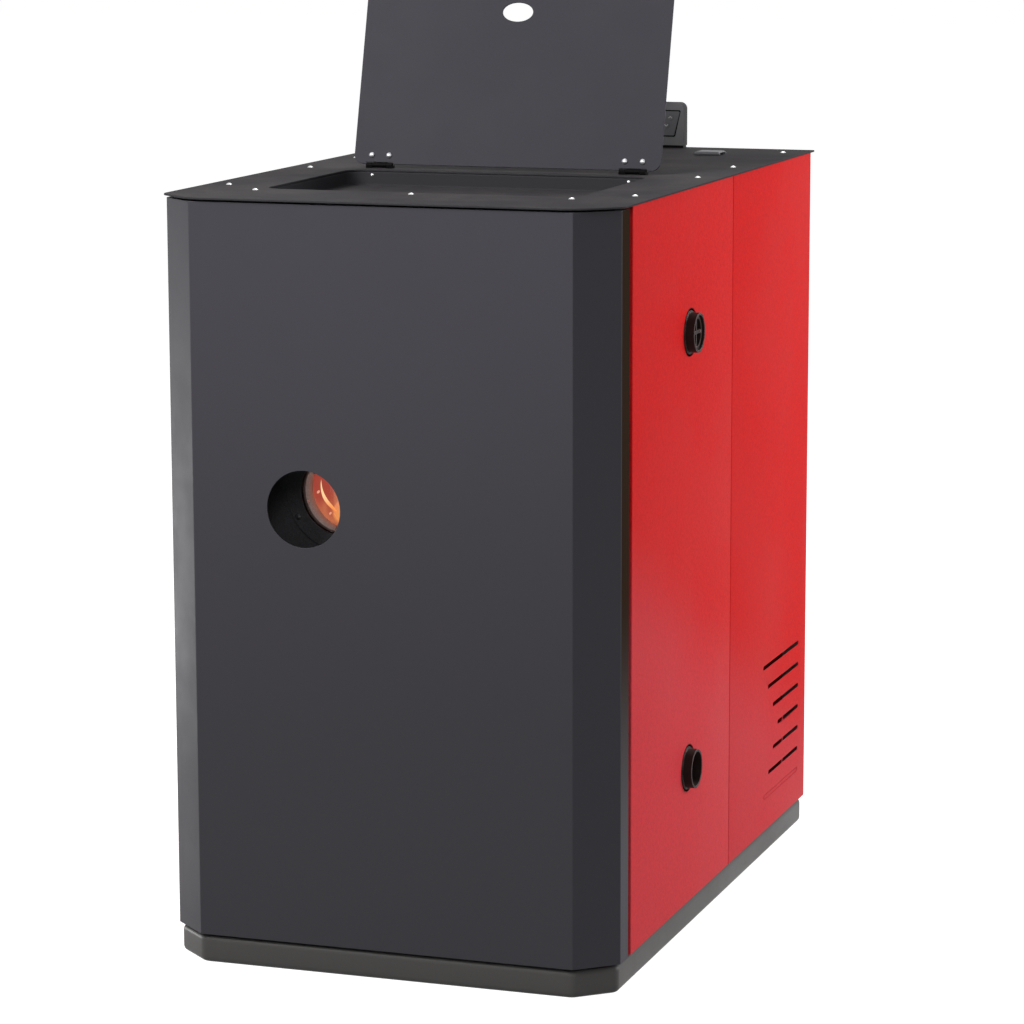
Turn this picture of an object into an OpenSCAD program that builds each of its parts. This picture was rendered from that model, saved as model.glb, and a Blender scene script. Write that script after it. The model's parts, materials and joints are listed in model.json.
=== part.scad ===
// Pellet boiler with a folded steel casing, a chamfered front door with a round view hole,
// a warming pan under a hinged lid, a pellet hopper with a screw feed, and a console at the rear.
// Origin on the floor under the middle of the casing, +Z up, the door faces -Y.

/* [Casing] */
// Width over the two side panels
case_w = 700; // [690:2:760]
// Depth from the door face to the rear panel
case_d = 1100; // [1090:5:1180]
// Height of the top plate above the floor
case_h = 1150; // [1145:5:1240]
// Thickness of the side and rear sheet
skin_t = 1.5; // [1:0.1:2]
// Width of the folded edges of the panels
flange_w = 18; // [14:1:20]
// Outer radius of the folds in the sheet
fold_r = 2; // [1:0.5:4]
// Length of the front side panels, up to the seam
front_panel_l = 525; // [480:5:560]
// Gap between the two panels of a side
seam_gap = 1.5; // [0.5:0.5:3]
// Thickness of the top plate
plate_t = 3; // [2:0.5:5]
// How far the top plate stands out over the casing
plate_over = 5; // [0:1:10]

/* [Front corners] */
// Width of the chamfers of the door
chamfer_w = 57; // [45:1:65]
// Depth of the chamfers of the door
chamfer_d = 50; // [40:1:60]
// Length of the straight returns behind the chamfers
return_d = 37; // [30:1:45]
// Gap between the door's returns and the side panels
door_gap = 13; // [12:1:20]

/* [Plinth] */
// Height of the plinth
plinth_h = 42; // [34:1:60]
// Shadow gap between the plinth and the casing, filled by the base plate
plinth_gap = 3; // [2:0.5:5]
// How far the plinth stands back from the casing
plinth_inset = 4; // [0:1:10]
// Radius of the plinth's upper and lower edges
plinth_r = 9; // [4:1:14]
// Width of the plinth ring
plinth_wall = 30; // [26:1:50]

/* [Front door] */
// Thickness of the door sheet
door_t = 2; // [1.5:0.5:3]
// Gap between the door and the top plate
door_top_gap = 3; // [2:1:6]
// Width of the folded edges along the door's top and bottom
door_edge_w = 15; // [10:1:20]
// Diameter of the round view hole
view_d = 114; // [90:2:130]
// Distance of the view hole from the middle of the door, to the left
view_left = 119; // [110:1:130]
// Height of the view hole
view_z = 700; // [680:5:720]
// Radius of the door's hinge pins
door_pin_r = 3; // [2.5:0.5:3.5]

/* [Warming pan] */
// Width of the pan
pan_w = 490; // [440:5:510]
// Depth of the pan from front to back
pan_l = 360; // [300:5:365]
// How deep the pan is sunk
pan_deep = 22; // [15:1:30]
// Radius of the pan's corners
pan_r = 30; // [10:1:40]
// Distance from the door face to the pan
pan_front = 165; // [160:5:185]
// Width of the pan's hidden rim
pan_rim = 15; // [10:1:22]

/* [Pan lid] */
// How far the lid is wider than the pan, on each side
lid_side = 8; // [4:1:12]
// How far the lid reaches past the front of the pan
lid_reach = 12; // [8:1:20]
// Thickness of the lid
lid_t = 3; // [2:0.5:4]
// Height of the folded lip along the lid's front edge
lid_lip = 4.3; // [3:0.1:4.4]
// Radius of the lid's corners
lid_r = 15; // [8:1:25]
// Angle between the closed lid and the open lid
lid_open = 105; // [95:1:108]
// Distance from the pan to the lid's hinge axis
lid_hinge_back = 28; // [26:1:34]
// Distance of the two hinges from the middle
lid_hinge_x = 209; // [150:0.5:215]
// Width of the finger hole
grip_w = 50; // [40:1:70]
// Height of the finger hole
grip_h = 30; // [22:1:36]
// Distance from the hinge axis to the middle of the finger hole
grip_at = 248; // [220:1:280]

/* [Hopper] */
// Width of the hopper's lid opening
fill_w = 280; // [240:5:290]
// Length of the hopper's lid opening
fill_l = 270; // [220:5:280]
// Distance from the hopper's front wall to its lid opening
fill_front = 20; // [15:1:30]
// Distance from the boiler to the hopper
hopper_gap = 25; // [20:1:35]
// Width of the hopper's spout
spout_w = 70; // [60:2:76]
// Length of the hopper's spout
spout_l = 120; // [100:5:140]

/* [Boiler] */
// Height of the boiler's feet
foot_h = 65; // [60:1:75]
// Height of the water jacket
jacket_h = 950; // [930:5:980]
// Depth of the water jacket
jacket_d = 476; // [470:2:490]
// Thickness of the jacket's steel plates
jacket_t = 5; // [4:0.5:7]
// Thickness of the insulation boards
board_t = 25; // [15:1:28]
// Width of the firebox
firebox_w = 282; // [270:2:290]
// Depth of the firebox
firebox_l = 306; // [290:2:320]
// Bore of the exchanger tubes
tube_d = 50; // [40:1:56]
// Thickness of the firebox lining
lining_t = 24; // [15:1:28]

/* [Fire door] */
// Width of the fire door
fire_w = 330; // [322:1:336]
// Height of the fire door
fire_h = 360; // [350:1:370]
// Thickness of the cast door
fire_t = 14; // [12:1:18]
// Diameter of the sight glass
glass_d = 139; // [130:1:145]
// Distance of the sight glass from the fire door's middle, to the right
glass_right = 11; // [0:1:14]
// Distance of the sight glass from the fire door's middle, upwards
glass_up = 5; // [0:1:8]
// Thickness of the sight glass
glass_t = 5; // [4:0.5:6]

/* [Ash drawer] */
// Width of the drawer
drawer_w = 230; // [200:5:236]
// Height of the drawer
drawer_h = 150; // [120:5:160]
// Length of the drawer
drawer_l = 310; // [280:5:320]

/* [Burner] */
// Outer diameter of the burner pot
pot_d = 144; // [130:2:150]
// Height of the burner pot
pot_h = 75; // [60:1:85]
// Number of air holes round the pot
pot_holes = 12; // [8:1:20]

/* [Pellet feed] */
// Outer diameter of the feed tube
feed_d = 76; // [70:1:80]
// Wall of the feed tube
feed_wall = 3; // [2:0.5:4]
// Pitch of the screw
screw_pitch = 60; // [50:2:80]
// Clearance between the screw and its tube
screw_gap = 1.5; // [1:0.1:3]
// Radius of the screw's shaft
shaft_r = 9; // [7:0.5:11]

/* [Blower] */
// Radius of the impeller
fan_r = 60; // [50:1:62]
// Width of the impeller
fan_w = 44; // [30:1:50]
// Number of blades
fan_blades = 20; // [12:1:24]

/* [Water pipes] */
// Outer diameter of the flow and return sockets
pipe_d = 60.3; // [48:0.1:61]
// Bore of the sockets
pipe_bore_d = 53; // [40:1:54]
// Distance the sockets stand out of the side panel
pipe_out = 14; // [8:1:30]
// Diameter of the cut-outs in the side panel
cutout_d = 73; // [70:1:80]
// Distance from the casing's middle to the sockets, towards the door
pipe_front = 155; // [140:5:170]
// Distance from the top of the jacket down to the flow socket
flow_drop = 130; // [120:5:140]
// Distance from the bottom of the jacket up to the return socket
return_rise = 148; // [120:4:160]

/* [Flue] */
// Outer diameter of the flue
flue_d = 130; // [110:2:140]
// Wall of the flue
flue_wall = 2; // [1.5:0.5:3]
// Distance the flue stands out of the rear panel
flue_out = 60; // [40:5:100]
// Distance of the flue from the casing's middle
flue_x = 150; // [145:1:155]

/* [Vents] */
// Height of the vent slots
slot_h = 6.5; // [4:0.5:10]
// Distance between the slots
slot_pitch = 36.6; // [25:0.2:38]
// Height of the top slot above the floor
slot_top = 322; // [310:2:340]
// Distance from the rear panel to the straight ends of the slots
slot_end = 47; // [40:1:60]
// Length of the longest slot
slot_long = 223; // [200:1:240]
// How much shorter each slot is than the one above it, down to the fourth
slot_step = 31; // [20:1:35]
// Distance from the rear panel to the bridge in the lower slots
slot_bridge_at = 147; // [120:1:160]

/* [Console] */
// Width of the console
console_w = 272; // [260:4:320]
// Height of the console
console_h = 76; // [70:1:90]
// Thickness of the console
console_t = 20; // [18:1:26]
// Radius of the console's upper corners
console_r = 11; // [5:1:14]
// Diameter of the keys
key_d = 10; // [8:1:11]
// Travel of the keys
key_travel = 0.8; // [0.5:0.1:1]

/* [Hidden] */
$fn = 48;

gap = 0.3;          // clearance between pieces that don't touch
run = 0.05;         // radial clearance of a running fit
thru = 1;           // overshoot of a cut past the face it opens

// Casing
plinth_floor = 3;   // sheet that closes the plinth at the bottom
hw = case_w/2;
front_y = -case_d/2;
rear_y = case_d/2;
base_z = plinth_h + plinth_gap;
plate_z = case_h - plate_t;
in_x = hw - skin_t;
fold_x = in_x - flange_w;
return_y = front_y + chamfer_d + return_d;
panel_y = return_y + door_gap;
seam_y = panel_y + front_panel_l;
plate_r = 70;       // radius of the top plate's front corners
base_in = 15;       // how far the base plate stands back, for the shadow gap

// Front frame, a tray that opens to the front
frame_t = 2;
tray_deep = 34;
tray_y = panel_y + skin_t;
jacket_y = tray_y + tray_deep + frame_t;
tray_plate_y = jacket_y - frame_t;
tray_z0 = base_z + skin_t + flange_w;
tray_z1 = plate_z - skin_t - flange_w;

// Chassis tubes
tube_t = 2;
post_w = 30;
rail_w = 28;
rail_x1 = fold_x - frame_t;
rail_x0 = rail_x1 - rail_w;
post_x = in_x - post_w;
post_y = rear_y - skin_t - post_w;

// Warming pan and its lid
pan_y0 = front_y + pan_front;
pan_y1 = pan_y0 + pan_l;
pan_z = plate_z - pan_deep;
lid_w = pan_w + 2*lid_side;
lid_ay = pan_y1 + lid_hinge_back;
lid_az = case_h + 4.5;
lid_edge = 2;       // from the hinge axis to the lid's rear edge
lid_rise = 0.5;     // from the hinge axis up to the lid's underside
lid_l = pan_l + lid_hinge_back + lid_reach - lid_edge;
lid_pin_r = 2;
lid_knuckle_r = 4;
lid_block_w = 44;
lid_cheek_w = 10;
lid_leaf_l = 30;
lid_leaf_t = 2;
lid_bolt_at = 16;
lid_bolt_gap = 29;
lid_leaf_at = 6;     // from the hinge axis to the wide part of the leaf

// Boiler
fire_x = -view_left;
jacket_x = fold_x - 5.5 - board_t;
jacket_y1 = jacket_y + jacket_d;
jacket_z0 = base_z + foot_h;
jacket_z1 = jacket_z0 + jacket_h;
front_wall = 30;
firebox_x0 = fire_x - firebox_w/2;
firebox_x1 = fire_x + firebox_w/2;
firebox_y0 = jacket_y + front_wall;
firebox_y1 = firebox_y0 + firebox_l;
firebox_z0 = jacket_z0 + 220;
gas_z1 = jacket_z1 - 60;
gas_z0 = gas_z1 - 80;
gas_y1 = jacket_y1 - 30;
bank_x0 = 50;       // left side of the tube bank
bank_x1 = jacket_x - 45;
ash_z0 = jacket_z0 + 18;
ash_z1 = jacket_z0 + 196;
ash_w = drawer_w + 12;
ash_y1 = firebox_y1 - 10;
smoke_z1 = jacket_z0 + 200;
tube_rows = 4;
tube_cols = 3;
flow_z = jacket_z1 - flow_drop;
return_z = jacket_z0 + return_rise;
flue_z = jacket_z0 + 110;

// Fire door
mouth_w = 250;
mouth_h = 300;
rope_w = 8;
rope_gap = 3;       // from the door's edge of the frame opening to the rope
rope_out_w = 300;
rope_out_h = 330;
fire_y1 = tray_plate_y - 1;
fire_y0 = fire_y1 - fire_t;
glass_x = fire_x + glass_right;
glass_z = view_z + glass_up;
ring_in_d = glass_d - 14;
ring_t = 4;
fire_pin_x = fire_x - fire_w/2 - 14;
fire_pin_r = 5;
fire_lug_r = 10;
fire_lug_h = 26;
fire_lugs = [-130, 104];

// Pellet feed
feed_z = jacket_z0 + 310;
feed_r = feed_d/2;
feed_y0 = firebox_y1 - 110;
neck_z = feed_z + feed_r + 17;
hopper_y0 = jacket_y1 + hopper_gap;
hopper_y1 = post_y - 3.5;
spout_y0 = hopper_y0 + 105;
spout_y1 = spout_y0 + spout_l;
feed_end = 6;
feed_y1 = spout_y1 + 136;
screw_y0 = feed_y0 + 5;
screw_y1 = feed_y1 - feed_end - 15;
shaft_end = feed_y1 + 22;

// Hopper lid
fill_y0 = hopper_y0 + fill_front;
fill_y1 = fill_y0 + fill_l;
cover_over = 5;
cover_t = 2;
cover_ay = fill_y1 + 11;
cover_az = case_h + 4;
cover_pin_r = 1.8;
cover_knuckle_r = 3.6;
cover_hinge_x = 95;
cover_block_w = 36;
cover_cheek_w = 8;

// Burner
pot_y = firebox_y0 + 136;
pot_wall = 10;
pot_z1 = firebox_z0 + 45;
pot_flange = 95;

// Blower
fan_x = fire_x - 71;
fan_y = jacket_y1 + 270;
scroll_r0 = fan_r + 8;
scroll_r1 = fan_r + 35;
fan_z = jacket_z0 + 20 + scroll_r1;
scroll_w = fan_w + 22;
sheet = 2;
duct_h = 55;

// Console
console_y1 = rear_y - 2;
console_y0 = console_y1 - console_t;
console_foot_h = 4;
facia_t = 1.8;
facia_low = 15;     // from the console's underside to the facia
facia_high = 13;    // from the facia to the console's top
facia_side = 6;    // from the facia's upper corner to the console's side
facia_lean = 10;    // how much further in the facia's lower corner lies
facia_gap = 1.8;
facia_z0 = case_h + console_foot_h + facia_low;
facia_z1 = case_h + console_h - facia_high;
key_z = [facia_z1 - 12, facia_z1 - 25];
key_x = [console_w/2 - 24, console_w/2 - 31];

door_dark = "#47484c";
steel_dark = "#46443f";
red = "#c8323a";
charcoal = "#454340";
black = "#1c1a19";
zinc = "#a9acae";
iron = "#3a3a3c";

function unit(v) = v/norm(v);
function corner(a, b, c, r, n) =
    r == 0 ? [b] :
    let (u = unit(a - b), v = unit(c - b), half = acos(u*v)/2,
         centre = b + unit(u + v)*r/sin(half),
         p = b + u*r/tan(half) - centre, q = b + v*r/tan(half) - centre,
         a0 = atan2(p.y, p.x), turn = (atan2(q.y, q.x) - a0 + 540) % 360 - 180)
    [for (i = [0:n]) centre + r*[cos(a0 + turn*i/n), sin(a0 + turn*i/n)]];
// An outline with its corners rounded: r is one radius, or one for each corner
function rounded(pts, r, n = 6) =
    let (m = len(pts))
    [for (i = [0:m-1])
        each corner(pts[(i + m - 1) % m], pts[i], pts[(i + 1) % m], is_list(r) ? r[i] : r, n)];
function rect_pts(x0, x1, y0, y1) = [[x0, y0], [x1, y0], [x1, y1], [x0, y1]];
// Plan of the casing, with its chamfered front corners, moved out by g
function plan(g) =
    let (a = atan2(chamfer_d, chamfer_w), fx = hw - chamfer_w + g*tan(a/2),
         sy = front_y + chamfer_d - g*tan((90 - a)/2))
    [[-fx, front_y - g], [fx, front_y - g], [hw + g, sy],
     [hw + g, rear_y + g], [-hw - g, rear_y + g], [-hw - g, sy]];

module box(x0, x1, y0, y1, z0, z1) translate([x0, y0, z0]) cube([x1 - x0, y1 - y0, z1 - z0]);
module slab(z0, z1) translate([0, 0, z0]) linear_extrude(z1 - z0) children();
// A profile drawn in Y and Z, extruded along X
module along_x(x0, x1) translate([x0, 0, 0]) rotate([90, 0, 90]) linear_extrude(x1 - x0) children();
// A profile drawn in X and Z, extruded along Y
module along_y(y0, y1) translate([0, y1, 0]) rotate([90, 0, 0]) linear_extrude(y1 - y0) children();
module rod_x(r, x0, x1, y, z) along_x(x0, x1) translate([y, z]) circle(r);
module rod_y(r, x, y0, y1, z) along_y(y0, y1) translate([x, z]) circle(r);
module rod_z(r, x, y, z0, z1) slab(z0, z1) translate([x, y]) circle(r);
module both_sides() for (s = [0, 1]) mirror([s, 0, 0]) children();
// Slot with round ends between u0 and u1, at height v
module stadium(u0, u1, v, h) {
    translate([u0 + h/2, v - h/2]) square([u1 - u0 - h, h]);
    for (u = [u0 + h/2, u1 - h/2]) translate([u, v]) circle(d = h);
}
// Domed screw head standing on z = 0
module dome(r, h) {
    ball = (r*r + h*h)/(2*h);
    intersection() {
        translate([0, 0, h - ball]) sphere(ball);
        cylinder(r = r + thru, h = h + thru);
    }
}

// Side of the plinth: square inwards, with round upper and lower edges outwards
module plinth_edge(reach) {
    translate([plinth_r, 0]) square([reach - plinth_r, plinth_h]);
    translate([0, plinth_r]) square([plinth_r, plinth_h - 2*plinth_r]);
    for (z = [plinth_r, plinth_h - plinth_r]) translate([plinth_r, z]) circle(plinth_r);
}

module plinth() color(charcoal) {
    edge = plan(-plinth_inset);
    reach = case_w + case_d;
    difference() {
        intersection_for (i = [0:len(edge)-1]) {
            run_to = edge[(i + 1) % len(edge)] - edge[i];
            translate(edge[i]) rotate(atan2(run_to.y, run_to.x)) along_x(-reach, reach) plinth_edge(reach);
        }
        slab(plinth_floor, plinth_h + thru) polygon(plan(-plinth_inset - plinth_wall));
    }
}

module base_plate() color(zinc) slab(plinth_h, base_z) polygon(plan(-base_in));

module front_frame() color(zinc) difference() {
    union() {
        box(-in_x, in_x, tray_y, tray_y + frame_t, base_z + skin_t, plate_z - skin_t);
        box(-fold_x, fold_x, tray_y, jacket_y, tray_z0, tray_z1);
        box(rail_x1, fold_x, return_y - gap, jacket_y, tray_z0, tray_z1);
    }
    box(-rail_x1, rail_x1, tray_y - thru, tray_plate_y, tray_z0 + frame_t, tray_z1 - frame_t);
    fire_x_in = (rope_out_w + 10)/2;
    fire_z_in = (rope_out_h + 10)/2;
    along_y(tray_y, jacket_y + thru) {
        translate([fire_x, view_z])
            polygon(rounded(rect_pts(-fire_x_in, fire_x_in, -fire_z_in, fire_z_in), 20));
        polygon(rect_pts(fire_x - ash_w/2 - 3, fire_x + ash_w/2 + 3, ash_z0 - 3, ash_z1 + 3));
    }
}

module tube_y(x0, x1, y0, y1, z0, z1) difference() {
    box(x0, x1, y0, y1, z0, z1);
    box(x0 + tube_t, x1 - tube_t, y0 - thru, y1 + thru, z0 + tube_t, z1 - tube_t);
}

module tube_x(x0, x1, y0, y1, z0, z1) difference() {
    box(x0, x1, y0, y1, z0, z1);
    box(x0 - thru, x1 + thru, y0 + tube_t, y1 - tube_t, z0 + tube_t, z1 - tube_t);
}

module chassis() color(zinc) {
    both_sides() {
        tube_y(rail_x0, rail_x1, jacket_y, post_y, plate_z - rail_w, plate_z);
        difference() {
            box(post_x, in_x, post_y, rear_y - skin_t, base_z + skin_t, plate_z - skin_t);
            box(post_x + tube_t, in_x - tube_t, post_y + tube_t, rear_y - skin_t - tube_t, base_z, plate_z);
        }
    }
    tube_x(-rail_x0, rail_x0, lid_ay - 3, lid_ay - 3 + rail_w, plate_z - rail_w, plate_z);
    tube_x(-post_x, post_x, post_y, rear_y - skin_t, plate_z - skin_t - post_w, plate_z - skin_t);
}

// A side panel folded inwards along all four edges
module side_panel(y0, y1) difference() {
    slab(base_z, plate_z) polygon(rounded(rect_pts(fold_x, hw, y0, y1), [0, fold_r, fold_r, 0]));
    box(fold_x - thru, in_x, y0 + skin_t, y1 - skin_t, base_z + skin_t, plate_z - skin_t);
}

// Seven vent slots: six are cut through and the lowest is only pressed in
module vent_slots() for (i = [0:6]) {
    z = slot_top - slot_pitch*i;
    short = i < 4 ? slot_step*i : slot_step*3 - (slot_step - 3)*(i - 3);
    y1 = rear_y - slot_end;
    y0 = y1 - slot_long + short;
    bridge = rear_y - slot_bridge_at;
    along_x(i == 6 ? hw - 0.8 : in_x - thru, hw + thru)
        if (i < 3 || i == 6) stadium(y0, y1, z, slot_h);
        else {
            stadium(y0, bridge - 2, z, slot_h);
            stadium(bridge + 2, y1, z, slot_h);
        }
}

module right_front_panel() color(red) difference() {
    side_panel(panel_y, seam_y);
    for (z = [flow_z, return_z]) rod_x(cutout_d/2, in_x - thru, hw + thru, -pipe_front, z);
}

module right_rear_panel() color(red) difference() {
    side_panel(seam_y + seam_gap, rear_y);
    vent_slots();
}

module left_front_panel() color(red) mirror([1, 0, 0]) side_panel(panel_y, seam_y);

module left_rear_panel() color(red) mirror([1, 0, 0]) difference() {
    side_panel(seam_y + seam_gap, rear_y);
    vent_slots();
}

module rear_panel() color(red) difference() {
    union() {
        box(-fold_x + 1, fold_x - 1, rear_y - skin_t, rear_y, base_z, plate_z);
        for (z = [base_z, plate_z - skin_t])
            box(-post_x + 1, post_x - 1, rear_y - skin_t - flange_w, rear_y, z, z + skin_t);
    }
    rod_y(flue_d/2 + 7, flue_x, rear_y - 2*skin_t, rear_y + thru, flue_z);
    box(inlet_x - inlet_w/2 - gap, inlet_x + inlet_w/2 + gap, rear_y - 2*skin_t, rear_y + thru,
        inlet_z - inlet_h/2 - gap, inlet_z + inlet_h/2 + gap);
}

module top_plate() color(steel_dark) difference() {
    slab(plate_z, case_h) polygon(rounded(plan(plate_over), [plate_r, plate_r, 20, 2, 2, 20]));
    slab(plate_z - thru, case_h + thru) {
        polygon(rounded(rect_pts(-pan_w/2, pan_w/2, pan_y0, pan_y1), pan_r, 8));
        polygon(rounded(rect_pts(-fill_w/2, fill_w/2, fill_y0, fill_y1), 8));
    }
}

module pan_outline(g)
    polygon(rounded(rect_pts(-pan_w/2 - g, pan_w/2 + g, pan_y0 - g, pan_y1 + g), pan_r + g, 8));

module warming_pan() color(steel_dark) difference() {
    union() {
        slab(plate_z - skin_t, plate_z) pan_outline(pan_rim);
        slab(pan_z - skin_t, plate_z) pan_outline(skin_t);
    }
    slab(pan_z, plate_z + thru) pan_outline(0);
}

// Domed screws that hold the top plate down, and the small ones in the pan's rear wall
module screws() color("silver") {
    side_x = in_x - 29.5;
    both_sides() for (y = [-340, -16, 183, 487])
        translate([side_x, y*case_d/1100, case_h]) dome(4.6, 2.4);
    for (x = [-side_x + 73, 0, side_x - 73]) translate([x, front_y + 138, case_h]) dome(4.6, 2.4);
    both_sides() translate([lid_hinge_x + 2, pan_y1, plate_z - 6]) rotate([90, 0, 0]) dome(3, 1.8);
}

// Everything on the lid is drawn as it lies when it is closed, and swung open here
module on_lid() translate([0, lid_ay, lid_az]) rotate([-lid_open, 0, 0]) children();
module at_lid_hinges() for (s = [-1, 1]) translate([s*lid_hinge_x, 0, 0]) children();

module lid_hinge_blocks() color(black) translate([0, lid_ay, lid_az]) at_lid_hinges() {
    for (x = [-lid_block_w/2, lid_block_w/2 - lid_cheek_w])
        along_x(x, x + lid_cheek_w) {
            circle(lid_knuckle_r);
            translate([-lid_knuckle_r, case_h - lid_az]) square([lid_knuckle_r + 10, lid_az - case_h]);
        }
    rod_x(lid_pin_r, -lid_block_w/2, lid_block_w/2, 0, 0);
}

module pan_lid() color(door_dark) on_lid() difference() {
    union() {
        slab(lid_rise, lid_rise + lid_t)
            polygon(rounded(rect_pts(-lid_w/2, lid_w/2, -lid_edge - lid_l, -lid_edge), lid_r, 8));
        box(-lid_w/2 + lid_r, lid_w/2 - lid_r, -lid_edge - lid_l, -lid_edge - lid_l + lid_t,
            lid_rise - lid_lip, lid_rise + lid_t);
    }
    at_lid_hinges() box(-lid_block_w/2 - 0.5, lid_block_w/2 + 0.5, -lid_knuckle_r - 1, 0,
        lid_rise - thru, lid_rise + lid_t + thru);
    slab(lid_rise - thru, lid_rise + lid_t + thru) translate([0, -grip_at])
        scale([grip_w/grip_h, 1]) circle(grip_h/2);
}

module lid_hinge_leaves() color(black) on_lid() at_lid_hinges() {
    half = lid_block_w/2 - lid_cheek_w - gap;
    z0 = lid_rise + lid_t;
    z1 = z0 + lid_leaf_t;
    along_x(-half, half) difference() {
        union() {
            circle(lid_knuckle_r);
            polygon([[2, 0], [2, z1], [-lid_leaf_at, z1], [-lid_leaf_at, z0],
                     [-lid_knuckle_r, z0], [-lid_knuckle_r, 0]]);
        }
        circle(lid_pin_r + run);
    }
    slab(z0, z1)
        polygon(rounded(rect_pts(-lid_block_w/2, lid_block_w/2, -lid_leaf_l, -lid_leaf_at), [3, 3, 0, 0]));
}

module lid_bolts() color("silver") on_lid() at_lid_hinges() for (s = [-1, 1])
    translate([s*lid_bolt_gap/2, -lid_bolt_at, 0]) {
        translate([0, 0, lid_rise]) mirror([0, 0, 1]) {
            cylinder(r = 4.4, h = 1.6);
            translate([0, 0, 1.6]) dome(4.4, 1.9);
        }
        translate([0, 0, lid_rise + lid_t + lid_leaf_t]) cylinder(r = 4.5, h = 3, $fn = 6);
    }

// Front door: one sheet folded along two chamfers and two returns
door_z1 = plate_z - door_top_gap;
module door_outline(g, r) intersection() {
    polygon(rounded(plan(g), r));
    polygon(rect_pts(-case_w, case_w, front_y - case_w, return_y));
}

module front_door() color(door_dark) difference() {
    slab(base_z, door_z1) door_outline(0, 2*fold_r);
    slab(base_z + door_t, door_z1 - door_t) door_outline(-door_t, fold_r);
    slab(base_z - thru, door_z1 + thru) intersection() {
        door_outline(-door_edge_w, fold_r);
        polygon(rect_pts(-case_w, case_w, front_y, return_y + thru));
    }
    slab(base_z - thru, door_z1 + thru)
        polygon(rect_pts(-hw + door_t, hw - door_t, front_y + chamfer_d + door_edge_w, return_y + thru));
    rod_y(view_d/2, fire_x, front_y - thru, front_y + 3*door_t, view_z);
}

door_ax = -hw + 5;
door_ay = return_y + 5.5;
door_lug_r = 5;
door_lug_t = 5;
lug_z = [tray_z0 + frame_t + 9, tray_z1 - frame_t - 11 - door_lug_t];
stiff_w = 35;
stiff_t = 20;

// Stiffening frame inside the door, with the hinge lugs and the strike plates of the magnets
module door_frame() color(zinc) {
    x1 = hw - chamfer_w - 8;
    z0 = base_z + door_edge_w + 2;
    z1 = door_z1 - door_edge_w - 2;
    y0 = front_y + door_t;
    difference() {
        box(-x1, x1, y0, y0 + stiff_t, z0, z1);
        box(-x1 + stiff_w, x1 - stiff_w, y0 - thru, y0 + stiff_t + thru, z0 + stiff_w, z1 - stiff_w);
    }
    in_y = front_y + chamfer_d + 3;
    for (z = lug_z) difference() {
        slab(z, z + door_lug_t) {
            translate([door_ax, door_ay]) circle(door_lug_r);
            polygon([[-hw + door_t, in_y], [-x1 + stiff_w, y0 + stiff_t - 1],
                     [-x1 + stiff_w, y0 + stiff_t + 6], [door_ax + 20, in_y],
                     [door_ax + door_lug_r, door_ay], [door_ax, door_ay],
                     [-hw + door_t, return_y]]);
        }
        rod_z(door_pin_r + run, door_ax, door_ay, z - thru, z + door_lug_t + thru);
    }
    for (z = magnet_z) box(hw - 44, hw - door_t, return_y - 3, return_y - 1, z - 25, z + 25);
}

magnet_z = [300, 900];

module door_magnets() color(black) for (z = magnet_z)
    box(rail_x1 - 22, rail_x1, return_y - 1 + gap, tray_plate_y, z - 20, z + 20);

// Brackets with the pins that carry the door
module door_hinges() color(zinc) for (i = [0, 1]) {
    lug = lug_z[i];
    z0 = i == 0 ? lug - gap - door_lug_t : lug + door_lug_t + gap;
    slab(z0, z0 + door_lug_t) {
        translate([door_ax, door_ay]) circle(door_lug_r);
        polygon([[door_ax, door_ay - door_lug_r], [-rail_x1 + 6, door_ay - door_lug_r],
                 [-rail_x1 + 10, panel_y], [-rail_x1 + 10, tray_plate_y], [-rail_x1, tray_plate_y],
                 [-rail_x1, panel_y - gap], [door_ax, door_ay + door_lug_r]]);
    }
    rod_z(door_pin_r, door_ax, door_ay, i == 0 ? z0 : lug - 3, i == 0 ? lug + door_lug_t + 3 : z0 + 1);
}

// Cast fire door behind the front door, with the sight glass
module fire_outline(g) translate([fire_x, view_z])
    polygon(rounded(rect_pts(-fire_w/2 - g, fire_w/2 + g, -fire_h/2 - g, fire_h/2 + g), 22 + g));
module rope_outline(g) translate([fire_x, view_z])
    polygon(rounded(
        rect_pts(-rope_out_w/2 - g, rope_out_w/2 + g, -rope_out_h/2 - g, rope_out_h/2 + g), 16 + g));

module fire_door() color(iron) difference() {
    union() {
        along_y(fire_y0, fire_y1) fire_outline(0);
        along_y(fire_y0 - 4, fire_y0) difference() {
            fire_outline(0);
            fire_outline(-10);
        }
        for (z = fire_lugs) slab(view_z + z, view_z + z + fire_lug_h) {
            translate([fire_pin_x, fire_y0]) circle(fire_lug_r);
            polygon(rect_pts(fire_pin_x, fire_pin_x + 26, fire_y0 - 5, fire_y0 + 5));
        }
    }
    for (z = fire_lugs)
        rod_z(fire_pin_r + run, fire_pin_x, fire_y0, view_z + z - thru, view_z + z + fire_lug_h + thru);
    rod_y(glass_d/2 + gap, glass_x, fire_y0 - thru, fire_y0 + glass_t + 0.2, glass_z);
    rod_y(glass_d/2 - 8, glass_x, fire_y0, fire_y1 + thru, glass_z);
    along_y(fire_y1 - 2.3, fire_y1 + thru) difference() {
        rope_outline(gap);
        rope_outline(-rope_w - gap);
    }
}

module sight_glass() color([0.9, 0.7, 0.5, 0.4])
    rod_y(glass_d/2, glass_x, fire_y0 + 0.2, fire_y0 + 0.2 + glass_t, glass_z);

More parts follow.
